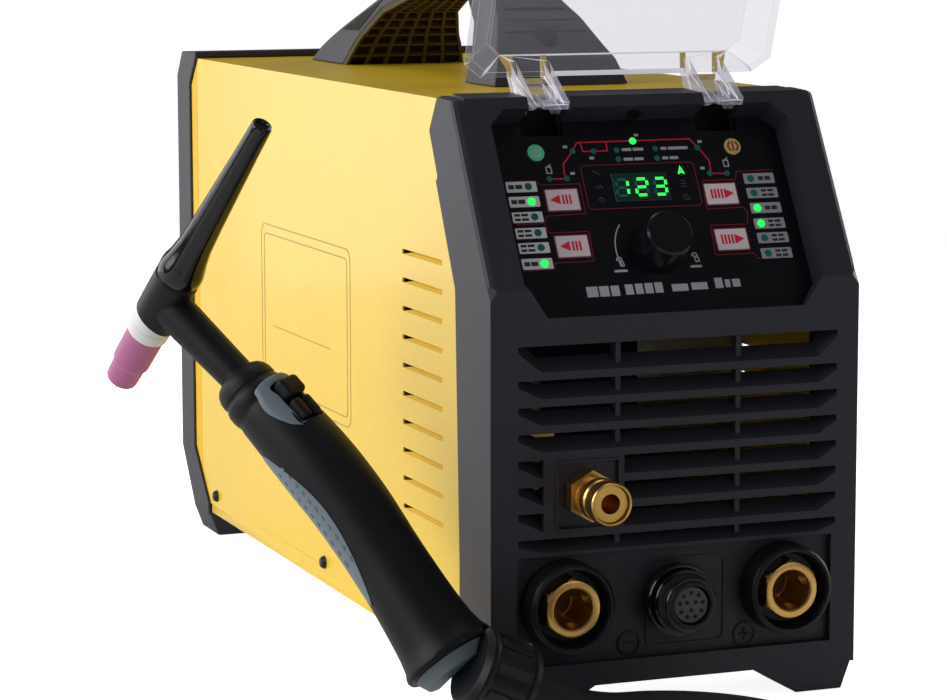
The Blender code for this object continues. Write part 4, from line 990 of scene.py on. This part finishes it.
def make_inserts():
    """The brass inserts: hexagons with turned fronts, and a bore with three ridges in it."""
    turns = [2 * math.pi * k / 96 for k in range(96)]
    # The limit on the radius, or the bore's radius, and the height.
    outside = [(1.0, -0.0440), (1.0, 0.0066), (0.0139, 0.0074), (0.0131, 0.0081), (0.0121, 0.0084)]
    inside = [(0.0104, 0.0084), (0.0097, 0.0079), (0.0093, 0.0066), (0.0090, 0.0040), (0.0088, -0.0150)]
    rings = []
    for limit, height in outside:
        flats = [HALF_ACROSS_FLATS / math.cos(a % (math.pi / 3) - math.pi / 6) for a in turns]
        rings.append(([min(flat, limit) for flat in flats], height))
    for radius, height in inside:
        ridge = 0.0020 if height < 0.0050 else 0
        rings.append(([radius - ridge * max(0, math.cos(3 * a + math.pi)) for a in turns], height))
    for x, hand in ((-SOCKET_SPREAD, "negative"), (SOCKET_SPREAD, "positive")):
        place = FRONT @ at(x, SOCKET_HEIGHT, 0)
        shape = bmesh.new()
        made = [
            [shape.verts.new((r * math.sin(a), r * math.cos(a), height)) for r, a in zip(radii, turns)]
            for radii, height in rings
        ]
        bridge(shape, made)
        shape.faces.new(made[0])
        shape.faces.new(made[-1])
        node = "dinse_insert_" + hand
        keep(mesh_from(shape, place), node + "_keyed", BRASS, nodes=(node,), smooth=24)
        # The bore's floor in darker brass: painted shade.
        liner = [(0, -0.0148), (0.0079, -0.0148), (0.0079, -0.0140), (0, -0.0140)]
        keep(turned(liner, place), node + "_floor", BRASS_IN_SHADE)


def make_fillers():
    """The bezel's cheeks where it meets the cover, and the cover's edge over the base tray."""
    outline = [(0.0449, 0.1956), (0.0817, 0.2657), (0.0709, 0.2829), (0.0497, 0.2821)]
    outline += [(0.0016, 0.2006), (0.0030, 0.1956)]
    cheeks = bevelled(both_sides(outline, 0.0845, 0.0929), 0.0028)
    keep(cheeks, "bezel_cheeks", CHARCOAL, smooth=None)
    outline = [(0.0435, 0.0150), (0.4560, 0.0150), (0.4560, 0.0205), (0.0435, 0.0205)]
    skirt = bevelled(both_sides(outline, COVER_HALF - 0.0010, COVER_HALF - 0.0001), 0.0002)
    keep(skirt, "cover_skirt", YELLOW)


def make_badge():
    """The badge's pressed lines on the left side; its words are left out."""
    outer = rounded((275.5, 151.0), 151, 92, 6)
    inner = rounded((275.5, 151.0), 141, 82, 3.5)
    lines = [(mm(outer), True), (mm(inner), True), (mm([(233, 142), (331, 142)]), False)]
    mesh = strokes(lines, 0.0007, -COVER_HALF - 0.00016, -COVER_HALF + 0.00005, SIDE)
    keep(mesh, "badge_lines", ENGRAVED)


def make_louvres():
    """The flap pushed in behind each louvre's slit, leaving a dark corner at its rear end; the flap's deeper
    yellow is painted shade.
    """
    outer = -COVER_HALF + 0.0002
    pieces = []
    for side in (-1, 1):
        for k in range(10):
            z = 0.0797 + 0.0139 * k
            # Y, Z and depth of the flap's corners: fixed along its lower edge, loose along its top.
            corners = [(0.0655, z - 0.0014, 0.0), (0.1215, z - 0.0014, 0.0)]
            corners += [(0.1030, z + 0.0015, 0.0030), (0.0655, z + 0.0015, 0.0012)]
            near = [(side * -(outer + depth), y, h) for y, h, depth in corners]
            far = [(side * -(outer + depth + 0.0006), y, h) for y, h, depth in corners]
            pieces.append(prism(near, far))
    # The flaps' deeper yellow is painted shade.
    keep(merged(pieces), "louvre_flaps", YELLOW_PAINTED_SHADE, smooth=20)


def make_side_shade_and_screws():
    """A strip of painted shade, a deeper yellow, on the cover's edge at the rear bezel, and its screws' domed
    heads.
    """
    outline = [(0.4752, 0.0392), (0.4863, 0.0508), (0.4863, 0.2655), (0.4752, 0.2783)]
    # Painted shade: a deeper yellow strip where the rear bezel's lip shades the cover.
    rear_edge_shade = both_sides(outline, COVER_HALF - 0.0004, COVER_HALF + 0.00012)
    keep(rear_edge_shade, "cover_edge_shade", YELLOW_PAINTED_SHADE)
    dome = [(0, 0), (0.0032, 0), (0.0024, 0.0011), (0.0013, 0.0014), (0, 0.0014)]
    heads = []
    for side in (-1, 1):
        for y, z in ((0.245, 0.0267), (0.445, 0.0267)):
            place = SIDE @ at(y, z, side * (COVER_HALF + 0.0012))
            if side < 0:
                place = place @ Matrix.Rotation(math.pi, 4, "X")
            heads.append(turned(dome, place, 24))
    keep(merged(heads), "cover_screw_domes", BLACK)


# ---------------------------------------------------------------- handle

# Half the handle's width at a few heights.
HANDLE_WIDTHS = ((0.2818, 0.0360), (0.295, 0.0315), (0.314, 0.0225), (0.326, 0.0165), (0.343, 0.0130))


def handle_half_width(z):
    """Half the handle's width at a height."""
    for (low, wide), (high, narrow) in zip(HANDLE_WIDTHS, HANDLE_WIDTHS[1:]):
        if z <= high:
            return wide + (narrow - wide) * max(0.0, (z - low) / (high - low))
    return HANDLE_WIDTHS[-1][1]


def make_handle_details():
    """The cored rear arm: painted shade in the cells between ribs on its underside and in the hollows in its
    sides, ribs painted olive for the yellow cover's bounced light, and painted shade in the front post's
    grooves.
    """
    under = [(0.3738, 0.2822), (0.362, 0.300), (0.345, 0.314), (0.310, 0.324), (0.268, 0.3278)]
    under = [Vector(point) for point in under]
    steps = []
    for a, b in zip(under, under[1:]):
        count = max(1, round((b - a).length / 0.0068))
        steps += [a.lerp(b, k / count) for k in range(count)]
    steps.append(under[-1])
    stations = []
    for k, point in enumerate(steps):
        before, after = steps[max(0, k - 1)], steps[min(len(steps) - 1, k + 1)]
        way = (after - before).normalized()
        stations.append((point, Vector((-way.y, way.x)) * -1, way))

    def spot(point, normal, u, lift):
        wide = handle_half_width(point.y) - 0.0012
        p = point - normal * lift
        return (u * wide, p.x, p.y)

    def wall(start, end, low, high, foot, top):
        """A bar between two stations, over a share of the arm's width, between two lifts."""
        corners = ((*start, low), (*start, high), (*end, high), (*end, low))
        return prism(*[[spot(*corner, lift) for corner in corners] for lift in (foot, top)])

    cells, ribs = [], []
    for (p, n, _), (q, m, _) in zip(stations, stations[1:]):
        cells.append(wall((p, n), (q, m), -1, 1, -0.0002, 0.0003))
        edge = 0.0009 / handle_half_width(p.y)
        for k in range(7):
            u = -1 + k / 3
            ribs.append(wall((p, n), (q, m), u - edge, u + edge, 0, 0.0032))
    half = 0.0007
    for p, n, w in stations[1:]:
        ribs.append(wall((p - w * half, n), (p + w * half, n), -1, 1, 0, 0.0030))
    grooves = []
    for z, y in ((0.3185, 0.1762), (0.3130, 0.1682), (0.3075, 0.1621)):
        wide = handle_half_width(z) - 0.004
        place = BASE @ at(0, y, z) @ Matrix.Rotation(math.radians(-47), 4, "X")
        grooves.append(slabs([bar(-wide, wide, 0, 0.0012)], -0.0002, 0.0004, place))
    # Painted shade: black bars for the shade in the front post's grooves.
    keep(merged(grooves), "handle_groove_shade", BLACK)
    # Painted shade: black for the shade in the open cells and the side hollows.
    cell = finish("cell_painted_shade", (0.003, 0.003, 0.003), 0.8, bump=0.05)
    keep(merged(cells), "handle_cell_shade", cell)
    # The ribs' olive is painted bounce light from the yellow cover.
    keep(merged(ribs), "handle_ribs", RIB_PAINTED_BOUNCE)
    outline = ((0.3700, 0.3105), (0.3925, 0.3005), (0.3660, 0.3010), (0.3560, 0.3110), (0.3490, 0.3190))
    hollows = []
    for side in (-1, 1):
        near, far = [
            [(side * (handle_half_width(z) + lift), y, z) for y, z in outline] for lift in (0.0003, -0.0004)
        ]
        hollows.append(prism(near, far))
    keep(merged(hollows), "handle_hollow_shade", cell)


# ---------------------------------------------------------------- torch

HEAD = Vector((-0.2139, 0.1001, 0.1930))
CAP_WAY = Vector((0.24, -0.61, 0.755)).normalized()
# The grip's centres and radii, from its foot at the nut to the neck.
GRIP = (
    ((-0.1189, -0.0186, 0.0364), 0.0215), ((-0.1268, -0.0079, 0.0517), 0.0188),
    ((-0.1383, 0.0088, 0.0759), 0.0175), ((-0.1501, 0.0255, 0.0995), 0.0180),
    ((-0.1618, 0.0402, 0.1185), 0.0182), ((-0.1738, 0.0544, 0.1356), 0.0170),
    ((-0.1827, 0.0638, 0.1458), 0.0148), ((-0.1897, 0.0720, 0.1558), 0.0122),
)
NUT = Vector((-0.1025, -0.0320, 0.0300))
NUT_WAY = Vector((0.90, -0.05, -0.43)).normalized()
LENS_SIDE = Vector((-0.355, -0.924, 0.142))


def grip_point(v, turn, lift):
    """A point on the grip: v from 0 at its foot to 7, turn in degrees from LENS_SIDE, lift outward."""
    k = min(int(v), len(GRIP) - 2)

    def blend(values, t):
        a = values[k - 1] if k else 2 * values[0] - values[1]
        d = values[k + 2] if k + 2 < len(values) else 2 * values[-1] - values[-2]
        return spline(a, values[k], values[k + 1], d, t)

    centres = [Vector(point) for point, _ in GRIP]
    t = v - k
    way = (blend(centres, t + 0.01) - blend(centres, t - 0.01)).normalized()
    front = (LENS_SIDE - way * LENS_SIDE.dot(way)).normalized()
    a = math.radians(turn)
    outward = front * math.cos(a) + way.cross(front) * math.sin(a)
    return blend(centres, t) + outward * (blend([radius for _, radius in GRIP], t) + lift)


def grip_patch(edges, lift, depth, columns=10):
    """A closed shell on the grip's surface between pairs of turns: edges are (v, low, high)."""
    shape = bmesh.new()
    layers = []
    for height in (lift, -depth):
        rows = []
        for v, low, high in edges:
            turns = [low + (high - low) * k / columns for k in range(columns + 1)]
            rows.append([shape.verts.new(grip_point(v, turn, height)) for turn in turns])
        layers.append(rows)
    top, bottom = layers
    for rows, flip in ((top, False), (bottom, True)):
        for a, b in zip(rows, rows[1:]):
            for k in range(columns):
                face = (a[k], a[k + 1], b[k + 1], b[k])
                shape.faces.new(face[::-1] if flip else face)
    rims = []
    for rows in (top, bottom):
        rims.append(rows[0] + [row[-1] for row in rows[1:]])
        rims[-1] += rows[-1][-2::-1] + [row[0] for row in rows[-2:0:-1]]
    rim, low = rims
    for k in range(len(rim)):
        n = (k + 1) % len(rim)
        shape.faces.new((rim[k], low[k], low[n], rim[n]))
    return mesh_from(shape, BASE)


def trigger_frame_way():
    """The trigger's own frame: local X across the grip, Y along it, Z outward."""
    low, high = Vector(GRIP[3][0]), Vector(GRIP[6][0])
    lengthwise = (high - low).normalized()
    outward = Vector((0.343, -0.667, 0.659))
    outward = (outward - lengthwise * outward.dot(lengthwise)).normalized()
    across = lengthwise.cross(outward)
    return Matrix.Translation(low.lerp(high, 0.77)) @ axes(across, lengthwise, outward)


def make_grip():
    """The moulded grip: a smooth flowing tube with a stepped collar, a groove and a flared foot."""
    shape = bmesh.new()
    sides = 56
    rings = []
    stations = [(0.0, 0.0), (0.02, 0.0004), (0.10, 0.0012), (0.20, 0.0011), (0.32, 0.0003)]
    stations += [(k * 0.2, 0.0) for k in range(3, 28)]
    stations += [(5.55, 0.0), (5.66, -0.0002), (5.74, -0.0003), (5.82, 0.0002), (5.95, 0.0008)]
    stations += [(6.12, 0.0010), (6.24, 0.0006), (6.29, 0.0000), (6.33, 0.0000), (6.40, 0.0008)]
    stations += [(6.60, 0.0012), (6.78, 0.0008), (6.90, -0.0002), (6.97, -0.0016), (6.99, -0.0030)]
    for v, lift in stations:
        rings.append([shape.verts.new(grip_point(v, 360 * k / sides, lift)) for k in range(sides)])
    bridge(shape, rings)
    shape.faces.new(rings[0][::-1])
    shape.faces.new(rings[-1])
    mesh = mesh_from(shape)
    cutter = bmesh.new()
    bmesh.ops.create_cube(cutter, size=1)
    size = Matrix.Diagonal((0.0142, 0.0240, 0.019, 1))
    place = trigger_frame_way() @ at(0, 0.0006, 0.0222) @ size
    bmesh.ops.transform(cutter, matrix=place, verts=cutter.verts)
    pocket = mesh_from(cutter)
    cutter = bmesh.new()
    bmesh.ops.create_cone(cutter, cap_ends=True, segments=40, radius1=0.0198, radius2=0.0198, depth=0.045)
    way = NUT_WAY.to_track_quat("Z", "Y").to_matrix().to_4x4()
    place = Matrix.Translation(NUT) @ way @ at(0, 0, 0.0075)
    bmesh.ops.transform(cutter, matrix=place, verts=cutter.verts)
    nut_room = mesh_from(cutter)
    for tool in (pocket, nut_room):
        holder = add_object("tool", tool)
        mesh = applied(mesh, ("BOOLEAN", {"operation": "DIFFERENCE", "object": holder}))
        bpy.data.objects.remove(holder)
    mesh.transform(BASE)
    keep(mesh, "grip_moulding", TORCH, "torch", ("torch_grip",), 32)


INLAY_TURN = -68  # where the inlay lies round the grip, in degrees from LENS_SIDE


def make_grip_details():
    """The blue-grey inlay along the grip, and its rows of dots."""
    edges = []
    for k in range(25):
        t = k / 24
        v = 1.60 + 3.15 * t
        half = 36 * math.sin(math.pi * t) ** 0.7 + 0.4
        middle = INLAY_TURN - 6 * (t - 0.5)
        edges.append((v, middle - half, middle + half))
    keep(grip_patch(edges, 0.00035, 0.0012, 14), "grip_inlay", BLUE_GREY, "torch")
    dots = []
    for k in range(11):
        v = 2.3 + 1.9 * k / 10
        for turn in (-9, 9):
            a, b = INLAY_TURN + 14 + turn - 2.2, 4.4
            dots.append(grip_patch([(v - 0.035, a, a + b), (v + 0.035, a, a + b)], 0.0007, 0.0, 2))
    keep(merged(dots), "grip_inlay_dots", BLUE_GREY, "torch")


def make_shield():
    """The blue-grey surround of the trigger and keys, lying on the grip's curve."""
    place = BASE @ trigger_frame_way()
    outline = [(-9.6, 16.0), (-12.6, 11.0), (-13.4, 4.0), (-12.2, -4.0), (-9.2, -11.5), (-4.5, -15.6)]
    outline += [(0.5, -17.0), (5.5, -15.6), (9.2, -11.5), (12.0, -4.0), (13.0, 4.0), (12.2, 11.0)]
    outline += [(9.6, 16.0)]
    shape = bmesh.new()

    def flowing(points):
        count, made = len(points), []
        for k in range(count):
            a, b, c, d = (Vector(points[(k + n) % count]) for n in (-1, 0, 1, 2))
            made += [spline(a, b, c, d, t) * MM for t in (0, 0.25, 0.5, 0.75)]
        return made

    outline = flowing(outline)

    def height(x, y):
        radius = 0.0178 - 0.0144 * y
        return math.sqrt(max(1e-6, radius**2 - x**2)) - 0.0003

    def ring(scale, lift):
        made = []
        for point in outline:
            x, y = point.x * scale, point.y * scale
            made.append(shape.verts.new((x, y, height(x, y) + lift)))
        return made

    inner = [(-6.9, 12.2), (-6.9, 6.0), (-6.9, 1.0), (-6.6, -5.0), (-6.6, -10.0), (-4.0, -10.9)]
    inner += [(0.0, -11.0), (4.0, -10.9), (6.6, -10.0), (6.6, -5.0), (6.9, 1.0), (6.9, 6.0), (6.9, 12.2)]
    inner = flowing(inner)
    inside = [shape.verts.new((p.x, p.y, height(p.x, p.y) + 0.0004)) for p in inner]
    inside_low = [shape.verts.new((p.x, p.y, 0.0150)) for p in inner]
    middle = ring(0.93, 0.0008)
    outer = ring(1.0, 0.0002)
    under = ring(1.0, -0.0016)
    bridge(shape, (inside_low, inside, middle, outer, under, inside_low))
    made = mesh_from(shape, place)
    keep(made, "trigger_surround", BLUE_GREY, "torch", ("torch_trigger_frame",), 40)
    well = bevelled(slabs([mm(rounded((0, 0.6), 13.4, 22.6, 2.5))], 0.0118, 0.0132, place), 0.0003)
    keep(well, "trigger_well", TORCH, "torch")


def rounded_block(low, high, place, width):
    """A box between two corners with its edges rounded over a width."""
    shape = bmesh.new()
    bmesh.ops.create_cube(shape, size=1)
    size = Vector(high) - Vector(low)
    middle = (Vector(high) + Vector(low)) / 2
    matrix = Matrix.Translation(middle) @ Matrix.Diagonal((*size, 1))
    bmesh.ops.transform(shape, matrix=matrix, verts=shape.verts)
    return bevelled(mesh_from(shape, place), width, 5)


def make_trigger_keys():
    """The rocker and the two keys beside it."""
    place = BASE @ trigger_frame_way()
    body = rounded_block((-0.0065, 0.0019, 0.0150), (0.0065, 0.0117, 0.0224), place, 0.0024)
    keep(body, "trigger_rocker", TORCH, "torch_trigger", ("torch_trigger",), None)
    for name, low, high in (("torch_up_key", -0.0061, -0.0004), ("torch_down_key", 0.0004, 0.0061)):
        body = rounded_block((low, -0.0104, 0.0150), (high, 0.0007, 0.0208), place, 0.0020)
        keep(body, name + "_dome", TORCH, name, (name,), None)


def make_neck_plug():
    """The dark filling where the bent neck enters the grip."""
    start = Vector(GRIP[-1][0])
    place = along(start, HEAD - 0.006 * CAP_WAY - start)
    mesh = turned([(0, -0.003), (0.0084, -0.003), (0.0084, 0.004), (0, 0.004)], place, 32)
    keep(mesh, "neck_plug", BLACK, "torch")


def make_cap():
    """The back cap: eight long flats that die out toward its round end, over a flared collar."""
    place = along(HEAD, CAP_WAY)
    # Radius, height, and how flat the eight flats are there.
    profile = [
        (0.0104, 0.0105, 0.0), (0.0108, 0.0112, 0.2), (0.0110, 0.0150, 0.6), (0.0106, 0.0180, 0.9),
        (0.0096, 0.0215, 1.0), (0.0080, 0.0320, 1.0), (0.0071, 0.0480, 1.0), (0.0062, 0.0700, 0.9),
        (0.0054, 0.0900, 0.6), (0.0050, 0.1030, 0.25), (0.0049, 0.1062, 0.0), (0.0046, 0.1073, 0.0),
        (0.0040, 0.1077, 0.0), (0.0031, 0.1075, 0.0), (0.0027, 0.1066, 0.0),
    ]
    sides = 48
    shape = bmesh.new()
    rings = []
    for radius, height, flats in profile:
        ring = []
        for k in range(sides):
            a = 2 * math.pi * k / sides
            within = (a + math.pi / 8) % (math.pi / 4) - math.pi / 8
            flat = math.cos(math.pi / 8) / math.cos(within) * 1.05
            r = radius * (1 + (min(1, flat) - 1) * flats)
            ring.append(shape.verts.new((r * math.cos(a), r * math.sin(a), height)))
        rings.append(ring)
    bridge(shape, rings)
    shape.faces.new(rings[0][::-1])
    shape.faces.new(rings[-1])
    keep(mesh_from(shape, place), "back_cap", CAP, "torch_back_cap", ("torch_back_cap",), 28)
    dimple = place @ Matrix.Rotation(math.radians(-58), 4, "Z") @ at(0.0, -0.0096, 0.0185)
    tilt = dimple @ Matrix.Rotation(math.radians(84), 4, "X")
    ring = turned([(0.0012, 0), (0.0026, 0), (0.0024, 0.0005), (0.0014, 0.0005)], tilt, 24)
    keep(ring, "cap_dimple", BLACK, "torch_back_cap")


def make_nut_details():
    """Raised pads round the swivel nut and the turned rim at its cable end."""
    place = along(NUT, NUT_WAY)
    pads = []
    for k in range(9):
        turn = place @ Matrix.Rotation(2 * math.pi * k / 9, 4, "Z") @ at(0.0190, 0, 0)
        pads.append(rounded_block((-0.0012, -0.0026, -0.0085), (0.0011, 0.0026, 0.0080), turn, 0.0009))
    keep(merged(pads), "nut_pads", BLACK, smooth=None)
    inner = [(0.0180, -0.0112), (0.0198, -0.0112), (0.0201, -0.0104), (0.0198, -0.0096), (0.0180, -0.0096)]
    outer = [(0.0170, 0.0094), (0.0196, 0.0094), (0.0199, 0.0102), (0.0192, 0.0112), (0.0170, 0.0112)]
    rims = [turned(profile, place) for profile in (inner, outer)]
    keep(merged(rims), "nut_rims", BLACK)


# ---------------------------------------------------------------- rear


REAR_PANEL = 0.5010  # Y of the rear panel's outer face


def make_rear_details():
    """The fan's guard, the switch's frame, a rating plate of plain bars and the rear screws."""
    panel = REAR @ at(0, 0, REAR_PANEL)
    rings = [(disc((0, 0), radius, 56), True) for radius in (0.016, 0.027, 0.038, 0.049, 0.057)]
    for a in (0.785, 2.356, 3.927, 5.498):
        rings.append(([around((0, 0), radius, a) for radius in (0.010, 0.057)], False))
    guard = strokes(rings, 0.0016, 0.0004, 0.0024, panel @ at(0, 0.135, 0))
    keep(bevelled(guard, 0.0003), "fan_guard", BLACK)
    surround = [(rounded((-0.045, 0.232), 0.027, 0.034, 0.002), True)]
    keep(strokes(surround, 0.0022, 0.0, 0.0016, panel), "switch_frame", BLACK)
    plate = [rounded((0.034, 0.232), 0.052, 0.030, 0.001)]
    keep(slabs(plate, -0.0001, 0.0002, panel), "rating_plate", LABEL_GREY)
    rows = [bar(0.012, 0.056 - 0.006 * (k % 3), 0.2425 - 0.0042 * k, 0.0012) for k in range(6)]
    keep(slabs(rows, 0.0, 0.0003, panel), "rating_rows", INK)
    dome = [(0, 0), (0.0036, 0), (0.0034, 0.0012), (0.0020, 0.0020), (0, 0.0020)]
    corners = ((-0.078, 0.034), (0.078, 0.034), (-0.078, 0.266), (0.078, 0.266))
    screws = [turned(dome, panel @ at(x, z, 0), 24) for x, z in corners]
    keep(merged(screws), "rear_screws", ZINC)


make_panel_print()
make_display()
make_key_marks()
make_front_details()
make_inserts()
make_fillers()
make_badge()
make_louvres()
make_side_shade_and_screws()
make_handle_details()
make_grip()
make_grip_details()
make_shield()
make_trigger_keys()
make_neck_plug()
make_cap()
make_nut_details()
make_rear_details()

# ---------------------------------------------------------------- floor


def make_floor():
    """A pale floor that looks as bright as the background behind it."""
    shape = bmesh.new()
    bmesh.ops.create_grid(shape, x_segments=1, y_segments=1, size=1.6)
    mesh = mesh_from(shape, BASE @ at(0, 0, -0.0004))
    floor = add_object("floor", mesh)
    look = finish("floor_pale", (0.93, 0.93, 0.93), 0.9, grain=60, bump=0, tint=0.01, gloss=0.1)
    tree = look.node_tree
    shader = tree.nodes["Principled BSDF"]
    set_inputs(shader, Emission_Color=(1, 1, 1, 1))
    path = tree.nodes.new("ShaderNodeLightPath")
    glow = add_node(tree, "ShaderNodeMapRange", To_Min=0.12, To_Max=0.9)
    link(tree, path, "Is Camera Ray", glow, "Value")
    link(tree, glow, "Result", shader, "Emission Strength")
    mesh.materials.append(look)


make_floor()
